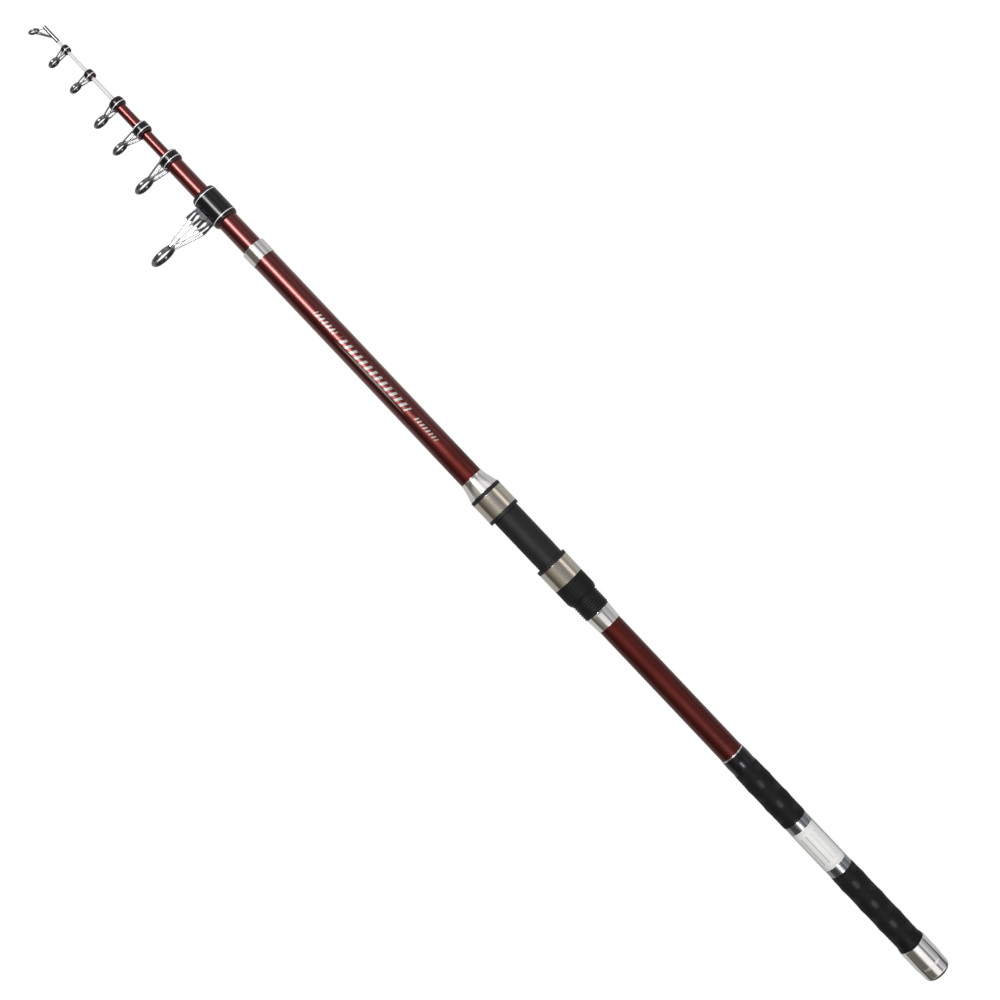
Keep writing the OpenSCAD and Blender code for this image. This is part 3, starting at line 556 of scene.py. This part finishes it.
def piece(name, finish, body, sheets, stands_for=(), marks=None, sharp=38.0):
    """Join grids into one mesh: neighbours in a grid make quads, rows always close, columns
    close where the grid says so. Seams and poles are then merged and faces turned outwards."""
    points, faces, first = [], [], 0
    for grid, loops in sheets:
        cell = np.arange(grid[..., 0].size).reshape(grid.shape[:2]) + first
        cell = np.concatenate([cell, cell[:, :1]], 1)
        cell = np.concatenate([cell, cell[:1]]) if loops else cell
        quads = np.stack([cell[:-1, :-1], cell[1:, :-1], cell[1:, 1:], cell[:-1, 1:]], -1)
        faces.append(quads.reshape(-1, 4))
        points.append(grid.reshape(-1, 3))
        first += points[-1].shape[0]
    mesh = bpy.data.meshes.new(name)
    mesh.from_pydata(np.concatenate(points).tolist(), [], np.concatenate(faces).tolist())
    shell = bmesh.new()
    shell.from_mesh(mesh)
    bmesh.ops.remove_doubles(shell, verts=shell.verts, dist=SAME_POINT)
    bmesh.ops.recalc_face_normals(shell, faces=shell.faces)
    shell.to_mesh(mesh)
    shell.free()
    mesh.shade_smooth()
    mesh.set_sharp_from_angle(angle=np.radians(sharp))
    if marks is not None:
        at = np.zeros(len(mesh.vertices) * 3, np.float32)
        mesh.vertices.foreach_get("co", at)
        cover = mesh.attributes.new("cover", "FLOAT", "POINT")
        cover.data.foreach_set("value", marks(at.reshape(-1, 3)[:, 0]).astype(np.float32))
    mesh.materials.append(finishes[finish])
    made = bpy.data.objects.new(name, mesh)
    bpy.context.scene.collection.objects.link(made)
    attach(made, body)
    if stands_for:
        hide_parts(*stands_for)
    print(name, len(mesh.vertices), "points,", len(mesh.polygons), "faces")


def span(node):
    """Where a turned node starts and ends, and its outer radius, in metres."""
    low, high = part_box(node)
    return float(low[0]), float(high[0]), float(high[2])


# %% [markdown]
# ## Blanks
# The sections are tapered glass tubes that stand one inside the other. Each is a four-cornered
# outline with eased edges, turned round the axis. A cylinder from the menu has no taper and
# no wall, so the outline is drawn instead.

# %% Tapered tubes
# Tube wall and edge in metres, and the radius of each tube's top in mm
WALL, TUBE_EDGE = 0.85 * MM, 0.25 * MM
top_radius = {"butt_blank": 11.0, "second_blank": 9.65, "third_blank": 7.6, "fourth_blank": 4.75}
home = {n: b for b, nodes in frame["record"]["behaviour"]["bodies"].items() for n in nodes}


def blank_radius(node, x):
    """Outer radius of a blank at x: straight from its foot to its top."""
    start, end, foot_r = span(node)
    return foot_r + (top_radius[node] * MM - foot_r) * (x - start) / (end - start)


for node, top in top_radius.items():
    start, end, foot_r = span(node)
    top_r = top * MM
    corners = [(start, foot_r - WALL), (start, foot_r), (end, top_r), (end, top_r - WALL)]
    colour = "butt_varnish" if node == "butt_blank" else "burgundy"
    piece(node.replace("blank", "tube"), colour, home[node],
          [turned(rounded(corners, TUBE_EDGE), 128)], [node])

# %% Solid tip
TIP_MOUTH_R, TIP_END_R = 1.95 * MM, 1.14 * MM
start, end, foot_r = span("tip_blank")
mouth = span("fourth_blank")[1]
outline = np.array([(start, 0), (start, foot_r), (mouth, TIP_MOUTH_R), (end, TIP_END_R), (end, 0)])
piece("tip_rod", "tip", "tip_section", [turned(outline, 48)], ["tip_blank"])

# %% [markdown]
# ## Butt cap, grips and label
# The cap is a bright screwed cup with a bevelled nose. Two soft grips carry rows of low
# diamond swells, 23 mm apart, so that a wet hand holds: the product of a wave along the rod
# and a wave round it gives that pattern. A metal sleeve with a paper label parts them.


# %% Sleeves on the butt tube
# Play between a tube and what is slid on to it, in mm
PLAY = 0.05


def sleeve(node, outside, reach):
    """A turned collar over the butt tube: its outside as (share of length, radius in mm), and
    how far its edges are eased, in mm."""
    start, end, _ = span(node)
    bore = blank_radius("butt_blank", start) + PLAY * MM
    rim = [(start + s * (end - start), r * MM) for s, r in outside]
    return turned(rounded([(start, bore), *rim, (end, bore)], reach * MM), 128)


# %% Butt cap
# Radius of the flat nose, length and height of its bevel, and the cap's outer radius, in mm
NOSE_FLAT, BEVEL_LONG, BEVEL_TALL, CAP_R = 9.3, 4.3, 3.4, 13.4
a = np.radians(np.linspace(0, 90, 19))[:, None]
nose = np.hstack([BEVEL_LONG * (1 - np.cos(a)), NOSE_FLAT + BEVEL_TALL * np.sin(a)])
step = [(4.6, 12.71), (11.4, 12.96), (11.6, 12.98), (13.9, 13.37), (14.1, CAP_R), (14.4, CAP_R)]
rim_and_bore = [(34.4, CAP_R), (34.7, CAP_R), (35, 13.1), (35, 12.4), (5, 12.4), (5, 0)]
cup = np.vstack([[(0, 0)], nose, step, rim_and_bore])
piece("cap", "trim", "screw_cap", [turned(cup * MM, 160)], ["butt_cap"],
      sharp=25.0)

# %% Grips and gloss bands
# Where a grip is thinnest, how far its ends draw in and its swells stand up, the pitch of the
# swells along it, and the length of its eased ends, in mm
GRIP_R, DRAWN_IN, SWELL_TALL, SWELL_PITCH, GRIP_END = 12.05, 0.15, 0.42, 23.4, 4.0
flared = [(0, 12.8), (0.15, 12.78), (0.4, 11.98), (1, 11.96)]
piece("butt_band", "rubbed", "butt_section",
      [sleeve("butt_whipping", flared, 1.2)], ["butt_whipping"], np.ones_like)
for node, crest in (("lower_grip", 85.2), ("upper_grip", 227.3)):
    start, end, _ = span(node)
    x = np.linspace(start, end, 180) / MM
    lean = np.linspace(0, 2 * np.pi, 144, endpoint=False)

    def wave(px):
        """The wave along a grip, in step with its brightest row of swells."""
        return np.cos(2 * np.pi * (px / MM - crest) / SWELL_PITCH)

    swell = wave(x * MM)[None, :] * np.cos(SWELLS_ROUND * lean)[:, None]
    fade = np.clip(np.minimum(x - x[0], x[-1] - x) / GRIP_END, 0, 1)
    skin = GRIP_R - DRAWN_IN * (1 - fade) + SWELL_TALL * fade * np.exp(2.2 * (swell - 1))
    bore = blank_radius("butt_blank", start) / MM + PLAY
    inside = np.full((len(lean), 2), bore)
    ends = np.concatenate([x[:1], x, x[-1:]])
    skin = np.hstack([inside[:, :1], skin, inside[:, 1:]])
    path = np.column_stack([ends, ends]) * MM
    piece(node + "_skin", "grip", "butt_section",
          [turned(path, angles=lean, radii=skin * MM)], [node], wave, sharp=60.0)
thin = blank_radius("butt_blank", span("grip_whipping")[0]) / MM + 0.5
slope = [(0, 11.86), (0.06, 11.7), (0.2, 11.62), (0.54, 11.88), (0.62, 11.86),
         (0.9, thin), (1, thin)]
piece("grip_band_gloss", "varnish", "butt_section",
      [sleeve("grip_whipping", slope, 1.0)], ["grip_whipping"], np.ones_like)
piece("grip_end_ring", "trim", "butt_section",
      [sleeve("grip_ring", [(0, thin), (1, thin)], 0.25)], ["grip_ring"])
piece("grip_sleeve", "dark", "butt_section",
      [sleeve("grip_band", [(0, 11.7), (1, 11.7)], 0.2)], ["grip_band"])

# %% Bare label
# The radius of the glued side and that of the paper's rounded corners, in mm
LABEL_BACK_R, CORNER = 11.72, 2.0
start, end, _ = span("bare_label")
lean = np.radians(np.linspace(-65, 165, 140))
edge = np.minimum(lean - lean[0], lean[-1] - lean) * 11.8
cut = CORNER - np.sqrt(np.maximum(CORNER**2 - np.maximum(CORNER - edge, 0.0) ** 2, 0.0))
half = ((end - start) / MM / 2 - cut)[:, None] * np.array([-1, 1, 1, -1.0])
thick = np.array([LABEL_BACK_R, LABEL_BACK_R, LABEL_R, LABEL_R])
middle = (start + end) / MM / 2
rows = np.stack([middle + half, thick * np.sin(lean)[:, None], thick * np.cos(lean)[:, None]], -1)
piece("label", "label", "butt_section", [carried(rows * MM)], ["bare_label"])

# %% [markdown]
# ## Bright trims
# Polished aluminium rings close the varnish off where the blank meets the seat and where the
# second section leaves the butt. The cone ahead of the seat is hollow-curved, so its
# reflections widen towards the hood.

# %% Rings, cone and ferrule
# The thin edge of a trim over the tube, and the cone's radius where it meets the seat, in mm
TRIM_EDGE, CONE_R = 0.3, 15.0
foot = blank_radius("butt_blank", span("seat_ring")[0]) / MM + TRIM_EDGE
piece("seat_tail_ring", "trim", "butt_section",
      [sleeve("seat_ring", [(0, foot), (0.9, 12.2), (1, 12.2)], 0.25)], ["seat_ring"])
t = np.linspace(0, 1, 25)
tail = blank_radius("butt_blank", span("seat_cone")[1]) / MM + TRIM_EDGE
curve = np.column_stack([0.04 + 0.86 * t, tail + (CONE_R - tail) * (1 - t) * (1 - t / 4)])
piece("seat_nose_cone", "trim", "butt_section",
      [sleeve("seat_cone", [(0, CONE_R), *curve, (1, tail)], 0.2)], ["seat_cone"])
piece("top_ring", "trim", "butt_section",
      [sleeve("top_ferrule", [(0, 11.5), (1, 11.5)], 0.35)], ["top_ferrule"])

# %% [markdown]
# ## Reel seat
# A nylon moulding with a coarse thread, a flat saddle and a fixed hood. A thread that really
# winds is a surface whose radius depends on the place and on the angle together, so the seat
# is one grid of radii: the thread, then cut down by the flat, the key slot and the pocket.


# %% Seat body
# Places along the rod in mm: the seat, its thread and its key slot; the land that a reel foot
# lies on, the fixed hood and its pocket; the bed of the hood's steel
SEAT, THREAD_END, SLOT_END, SEAT_END = 430.7, 476.2, 499.4, 573.3
LAND, LAND_END, HOOD, POCKET_END = 498.4, 546.2, 547.2, 560.2
STEEL, STEEL_END = 550.5, 570.0
# Sizes in mm: the thread's pitch, root and depth; the saddle, its flat, the land and the roof of
# the pocket; the hood's rim and core; the floor of the key slot. Then half the slot's angle
PITCH, THREAD_ROOT, THREAD_DEEP = 2.5, 12.4, 0.8
SADDLE_R, FLAT, LAND_FLAT, ROOF = 13.5, 12.2, 12.3, 14.3
HOOD_R, CORE_R, SLOT_R = 15.6, 15.08, 12.1
SLOT_HALF = np.arcsin(1.5 / 12.6)


def seat_radius(x, lean):
    """Outer radius of the seat in mm at x mm and at an angle from the guide side: the thread,
    the saddle and the fixed hood's core, each cut by its flats."""
    phase = ((x - SEAT) / PITCH - lean / (2 * np.pi)) % 1.0
    tooth = np.clip(np.minimum(phase / 0.3, (0.9 - phase) / 0.3), 0, 1)
    fade = np.clip((x - SEAT) / 1.2, 0, 1)
    r = np.where(x <= THREAD_END, THREAD_ROOT + THREAD_DEEP * tooth * fade, SADDLE_R)
    r = np.where(x >= HOOD, HOOD_R, r)
    r = np.where((x > STEEL) & (x < STEEL_END), CORE_R, r)
    lift = np.maximum(np.cos(lean), 1e-3)
    r = np.where((x > THREAD_END) & (x < LAND), np.minimum(r, FLAT / lift), r)
    r = np.where((x >= LAND) & (x < LAND_END), np.minimum(r, LAND_FLAT / lift), r)
    pocket = (x >= LAND_END) & (x < POCKET_END) & (np.cos(lean) > FLAT / ROOF)
    r = np.where(pocket, FLAT / lift, r)
    slot = (x < SLOT_END) & (np.cos(lean) < -np.cos(SLOT_HALF))
    return np.where(slot, np.minimum(r, SLOT_R), r)


# Points close on both sides of every step keep the steps sharp
steps = np.array([THREAD_END, LAND, SLOT_END, LAND_END, HOOD, STEEL, POCKET_END, STEEL_END])
between = [487.0, 522.0, 555.0, 565.0, SEAT_END]
threaded = np.linspace(SEAT, 476.0, 260)
along = np.sort(np.concatenate([threaded, between, steps - 1e-3, steps + 1e-3]))
pocket_side = np.arccos(FLAT / ROOF) + np.array([-1e-4, 1e-4])
around = np.linspace(-np.pi, np.pi, 160, endpoint=False)
lean = np.sort(np.concatenate([around, -pocket_side, pocket_side]))
outer = seat_radius(along[None, :], lean[:, None])
bore = np.full((len(lean), 2), blank_radius("butt_blank", SEAT * MM) / MM + PLAY)
path = np.column_stack([np.concatenate([along, [SEAT_END, SEAT]]), np.zeros(len(along) + 2)])
seat_body = turned(path * MM, angles=np.pi / 2 - lean, radii=np.hstack([outer, bore]) * MM)
# The roof of the pocket spans a little more than the pocket, so that it runs into the hood
roof_x = np.array([HOOD, HOOD, STEEL, STEEL, POCKET_END, POCKET_END])
roof_r = np.array([ROOF, HOOD_R, HOOD_R, CORE_R, CORE_R, ROOF])
spread = np.linspace(-0.56, 0.56, 41)[:, None]
roof_yz = roof_r * np.cos(spread), roof_r * np.sin(spread)
roof_rows = np.stack(np.broadcast_arrays(roof_x, *roof_yz), -1)
piece("seat_body", "seat", "butt_section", [seat_body, carried(roof_rows * MM)],
      ["reel_seat"], sharp=30.0)

# %% Moving hood
# The hood's bore, the height and half width of its key, and the depth of its pocket, in mm, and
# the cosine of the angle at which that pocket ends
HOOD_BORE, KEY, POCKET_DEEP, POCKET_EDGE = 13.6, 1.3, 0.7, 0.872
lean = np.linspace(-np.pi, np.pi, 240, endpoint=False)
hood = np.array([
    (467.4, HOOD_BORE), (467.4, 14.78), (486.9, 14.78), (486.9, 15.3), (487.1, 15.5),
    (490.0, 15.5), (490.2, 15.3), (490.2, HOOD_BORE), (477.2, HOOD_BORE), (477.1, HOOD_BORE)])
radii = np.broadcast_to(hood[:, 1], (len(lean), len(hood))).copy()
open_foot = np.clip((np.cos(lean) - POCKET_EDGE) / 0.02, 0, 1)
radii[:, 7:9] += POCKET_DEEP * open_foot[:, None]
key = np.abs(np.abs(lean) - np.pi) < np.arcsin(KEY / HOOD_BORE)
radii[:, [0, 9]] -= np.where(key, KEY, 0.0)[:, None]
piece("hood_core", "seat", "reel_hood",
      [turned(hood * MM, angles=np.pi / 2 - lean, radii=radii * MM)], ["moving_hood"], sharp=30.0)

# %% Steel hood sleeves
STEEL_THICK = 0.5 * MM
for node, body in (("moving_hood_sleeve", "reel_hood"), ("fixed_hood_sleeve", "butt_section")):
    start, end, outer_r = span(node)
    inner_r = outer_r - STEEL_THICK
    corners = [(start, inner_r), (start, outer_r), (end, outer_r), (end, inner_r)]
    piece(node.replace("sleeve", "steel"), "hood", body,
          [turned(rounded(corners, 0.14 * MM), 160)], [node])

# %% Lock nut
# The number and depth of the nut's flutes, where they start and end, and its radii, in mm
FLUTES, FLUTE_DEEP, FLUTE_START, FLUTE_END = 24, 0.35, 452.2, 464.2
NUT_R, NUT_BORE = 15.1, 13.3
lean = np.linspace(0, 2 * np.pi, FLUTES * 12, endpoint=False)
flute = np.clip(np.cos(FLUTES * lean) * 1.6 - 0.6, 0, 1)[:, None]
lead = [(448.2, NUT_BORE), (448.2, 13.9), (448.4, 14.1), (451.6, 15.0), (FLUTE_START, NUT_R)]
ridge = np.column_stack([np.linspace(452.5, 466.5, 29), np.full(29, NUT_R)])
loop = np.vstack([lead, ridge, [(466.9, NUT_R), (467.2, 14.8), (467.2, NUT_BORE)]])
place, radius = loop.T
deep = np.clip(np.minimum(place - FLUTE_START, FLUTE_END - place), 0, 1) * (radius > 15.05)
radii = radius - FLUTE_DEEP * flute * deep
piece("nut", "nut", "reel_nut",
      [turned(loop * MM, angles=lean, radii=radii * MM)], ["lock_nut"], sharp=50.0)

# %% [markdown]
# ## Line guides
# Each guide is a steel frame with a hard ring in it. Small guides stand on bent wire, and the
# big first one on stamped legs with windows. Thread and varnish bind each frame to its tube,
# and one or two silver threads trim the binding.

# %% Rings and bindings
guide_body = {1: "second_section", 2: "third_section", 3: "guide_3", 4: "fourth_section",
              5: "guide_5", 6: "guide_6"}
carrier = {1: "second_blank", 2: "third_blank", 3: "fourth_blank", 4: "fourth_blank"}
runs = {j["name"]: -j["range_m"][0] for j in frame["joints"] if j["name"].startswith("guide_")}
# Angle from the foot of a ring to where its legs meet it
LEG_ANGLE = np.radians(38)
# Places of the silver threads as shares of each binding's length
trim_places = {1: [0.13, 0.89], 2: [0.3, 0.87], 3: [0.3, 0.9], 4: [0.33], 5: [0.34], 6: [0.35]}


def tip_radius(x):
    """Radius of the tip: slow taper inside the fourth section and a quick one beyond it."""
    start, end, foot_r = span("tip_blank")
    return np.interp(x, [start, mouth, end], [foot_r, TIP_MOUTH_R, TIP_END_R])


def ring_sizes(ring_r):
    """Wall and width of a ring's frame and wall of its insert, in metres."""
    r = ring_r / MM
    return (0.7 + 0.06 * r) * MM, (1.6 + 0.15 * r) * MM, (0.4 + 0.08 * r) * MM


def leaning(sheet, x, height, lean):
    """Turn a ring round the upright through its centre: far side towards the tip."""
    grid, loops = sheet
    c, s = np.cos(np.radians(lean)), np.sin(np.radians(lean))
    turn = np.array([[c, -s, 0], [s, c, 0], [0, 0, 1]])
    return grid @ turn + [x, height, 0], loops


def ring_frame(x, height, ring_r, width, lean=0.0):
    """A hoop of half-round strip, turned round a line at the ring's height: its section is half
    an ellipse, (-w/2 cos a, r - wall + wall sin a), closed by the flat that holds the insert."""
    wall = ring_sizes(ring_r)[0]
    a = np.linspace(0.0, np.pi, 25)
    section = np.column_stack([-width / 2 * np.cos(a), ring_r - wall + wall * np.sin(a)])
    return leaning(turned(section, 96), x, height, lean)


def ring_insert(x, height, ring_r, width, lean=0.0):
    """A ring that bulges inwards in a half round, where the line bears."""
    wall, _, thick = ring_sizes(ring_r)
    half, outer_r = width / 2 + 0.28 * MM, ring_r - wall - 0.02 * MM
    a = np.linspace(-np.pi / 2, np.pi / 2, 17)[::-1]
    inner = np.column_stack([half * np.sin(a), outer_r - 0.4 * thick - 0.6 * thick * np.cos(a)])
    section = np.vstack([[(-half, outer_r), (half, outer_r)], inner])
    return leaning(turned(section, 96), x, height, lean)


# %% Stamped legs of the first guide
def bar(height, left, right, z, half_thick=0.6 * MM):
    """A flat bar with round edges: at each height the two halves of a circle, drawn apart until
    they reach left and right, centred on z. Where a bar is narrow it becomes a round wire."""
    angle = (np.arange(24) + 0.5) * np.pi / 12
    half = (right - left)[:, None] / 2
    edge = np.minimum(half, half_thick)
    x = (left + right)[:, None] / 2 + (half - edge) * np.sign(np.cos(angle)) + edge * np.cos(angle)
    y = np.broadcast_to(height[:, None], x.shape)
    return carried(np.stack([x, y, z[:, None] + half_thick * np.sin(angle)], -1))


def stamped_legs(start, collar_r, x, height, ring_r):
    """Two plates, each of three bars that part two arched windows. A window's edge follows a
    circle near the binding and then a straight line up to the ring; the plates flare outwards
    as they leave the binding, so their feet and their tops mirror different things."""
    grip = ring_r - ring_sizes(ring_r)[0] / 2
    top, side = height - grip * np.cos(LEG_ANGLE), grip * np.sin(LEG_ANGLE)
    foot, end, middle = start + 6.5 * MM, start + 25.0 * MM, start + 15.75 * MM
    root, arch_r = 9.3 * MM, 3.0 * MM
    sill, arch, shoulder = collar_r + 2.2 * MM, collar_r + 5.2 * MM, collar_r + 10.7 * MM
    straight = np.linspace(arch, top + 0.3 * MM, 30)[1:]
    y = np.concatenate([[root], np.linspace(sill, arch, 9), straight])
    up = np.clip((y - arch) / (top - 3.2 * MM - arch), 0, 1)
    half = arch_r * np.sqrt(np.clip(1 - ((arch - np.clip(y, sill, arch)) / arch_r) ** 2, 0, 1))

    def window(which, edge):
        """One edge of one window, from its arch to its point under the ring."""
        below = middle + which * 4.4 * MM + edge * half
        return (1 - up) * below + up * (x + which * 1.18 * MM + edge * 0.34 * MM)

    def outside(below, above):
        """An outer edge of a plate: upright, then leaning in to the ring."""
        return np.interp(y, [0, shoulder, top - 2 * MM, top], [below, below, above, above])

    def stand_off(y):
        """How far a plate stands off the middle plane at a height."""
        heights = [0, collar_r - MM, collar_r + 12 * MM, top]
        return np.interp(y, heights, [4.2 * MM, 4.2 * MM, 7.9 * MM, side])

    bars = [(outside(foot, x - 1.72 * MM), window(-1, -1)), (window(-1, 1), window(1, -1)),
            (window(1, 1), outside(end, x + 1.72 * MM))]
    sheets = [bar(y, a, b, s * stand_off(y)) for a, b in bars for s in (-1, 1)]
    low = np.linspace(root, sill, 6)
    left, right = np.full(6, foot), np.full(6, end)
    return sheets + [bar(low, left, right, s * stand_off(low), 0.57 * MM) for s in (-1, 1)]


# %% Wire legs of the small guides
def wire_legs(start, end, tube_r, x, height, ring_r):
    """Four bent wires: each leaves the binding near one end and meets the ring low on one side."""
    wall, width, _ = ring_sizes(ring_r)
    radius = (0.16 + 0.067 * ring_r / MM) * MM
    grip, down, out = ring_r - wall / 2, np.cos(LEG_ANGLE), np.sin(LEG_ANGLE)
    sheets = []
    for side in (-1, 1):
        for way, foot in ((-1, start + radius + 0.5 * MM), (1, end - radius - 0.5 * MM)):
            a = np.array([foot, tube_r * down, side * tube_r * out])
            d = np.array([x + way * width / 4, height - grip * down, side * grip * out])
            b = a + (d - a) * 0.30 + np.array([way * 0.35 * MM, 0, 0])
            c = a + (d - a) * 0.75 + np.array([way * 0.25 * MM, 0, 0])
            sheets.append(wire(bend(a, b, c, d), radius))
    return sheets


# %% Six guides
# The wall of a guide's tube and how far it stays inside the binding, and the half width, bed and
# rise of a silver thread, in metres
TUBE_WALL, INSET = 0.4 * MM, 0.5 * MM
THREAD_HALF, THREAD_BED, THREAD_RISE = 0.43 * MM, 0.3 * MM, 0.1 * MM
for i, body in guide_body.items():
    name = "guide_%d" % i
    start, end, collar_r = span(name + "_collar")
    _, frame_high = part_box(name + "_frame")
    ring_r = float(frame_high[2])
    width = ring_sizes(ring_r)[1]
    insert_low, insert_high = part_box(name + "_insert")
    x, height = (float(insert_low[k] + insert_high[k]) / 2 for k in (0, 1))
    at = start - runs.get(name + "_slide", 0.0)
    under = (blank_radius(carrier[i], at) if i in carrier else tip_radius(at)) + PLAY * MM
    tube = rounded([(start + INSET, under), (start + INSET, under + TUBE_WALL),
                    (end - INSET, under + TUBE_WALL), (end - INSET, under)], 0.1 * MM)
    if i == 1:
        legs = stamped_legs(start, collar_r, x, height, ring_r)
    else:
        legs = wire_legs(start, end, under + 0.5 * MM, x, height, ring_r)
    piece(name + "_steel", "steel", body,
          [ring_frame(x, height, ring_r, width), turned(tube, 64), *legs], [name + "_frame"])
    piece(name + "_ring", "ceramic", body,
          [ring_insert(x, height, ring_r, width)], [name + "_insert"])
    bore, lip, taper = under + 0.42 * MM, under + 0.72 * MM, min(3 * MM, (end - start) / 4)
    binding = [(start, bore), (start, lip), (start + taper / 2, 0.2 * lip + 0.8 * collar_r),
               (start + taper, collar_r), (end - taper, collar_r),
               (end, (collar_r + lip) / 2), (end, bore)]
    piece(name + "_binding", "varnish", body,
          [turned(rounded(binding, 0.42 * taper, 9), 112)], [name + "_collar"],
          lambda px: np.clip(np.minimum(px - start, end - px) / taper, 0, 1))
    bed, crown = collar_r - THREAD_BED, collar_r + THREAD_RISE
    hoops = []
    for share in trim_places[i]:
        middle = start + share * (end - start)
        left, right = middle - THREAD_HALF, middle + THREAD_HALF
        hoop = rounded([(left, bed), (left, crown), (right, crown), (right, bed)], 0.2 * MM)
        hoops.append(turned(hoop, 96))
    piece(name + "_trim", "thread", body, hoops, [name + "_bands"])

# %% Tip ring
frame_low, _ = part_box("tip_frame")
start = float(frame_low[0])
insert_low, insert_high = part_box("tip_insert")
ring_r, width, lean = (float(insert_high[2]) + 0.72 * MM) / 0.94, 1.4 * MM, 20.0
x, height = (float(insert_low[k] + insert_high[k]) / 2 for k in (0, 1))
wall = ring_sizes(ring_r)[0]
neck = tip_radius(start) + PLAY * MM
socket_end, blind = start + 18.3 * MM, start + 14.4 * MM
socket = np.array([(start, neck), (start, neck + 0.25 * MM), (start + 0.3 * MM, neck + TUBE_WALL),
                   (socket_end - 0.5 * MM, neck + TUBE_WALL), (socket_end, neck), (socket_end, 0),
                   (blind, 0), (blind, neck)])
root = np.array([socket_end - 1.0 * MM, 0, 0])
near = (ring_r - wall / 2) * np.array([np.sin(np.radians(lean)), np.cos(np.radians(lean))])
foot = np.array([x - near[0], height - near[1], 0])
reach = foot - root
post = bend(root, root + reach * [0.2, 0.5, 1], root + reach * [0.7, 0.8, 1], foot)
sheets = [ring_frame(x, height, ring_r, width, lean), turned(socket, 48), wire(post, 0.8 * MM)]
for side in (-1, 1):
    root = np.array([start + 5 * MM, 0.3 * MM, side * 0.6 * MM])
    arm = np.array([x, height, side * (ring_r - wall / 2)])
    reach = arm - root
    sheets.append(wire(bend(root, root + reach * 0.33, root + reach * 0.72, arm), 0.6 * MM))
piece("tip_steel", "steel", "tip_section", sheets, ["tip_frame"])
piece("tip_ring", "ceramic", "tip_section",
      [ring_insert(x, height, ring_r, width, lean)], ["tip_insert"])

# %% [markdown]
# ## Pieces that stay as solids
# The threaded end of the blank and the rubber pad show only when the cap is off. Their packed
# solids have the right shape, so they keep it and only take a finish.

# %% Finishes on the hidden solids
for node, finish in (("butt_thread_sleeve", "trim"), ("butt_pad", "pad")):
    slots = frame["nodes"][node].data.materials
    slots.clear()
    slots.append(finishes[finish])
    print(node, "takes", finishes[finish].name)
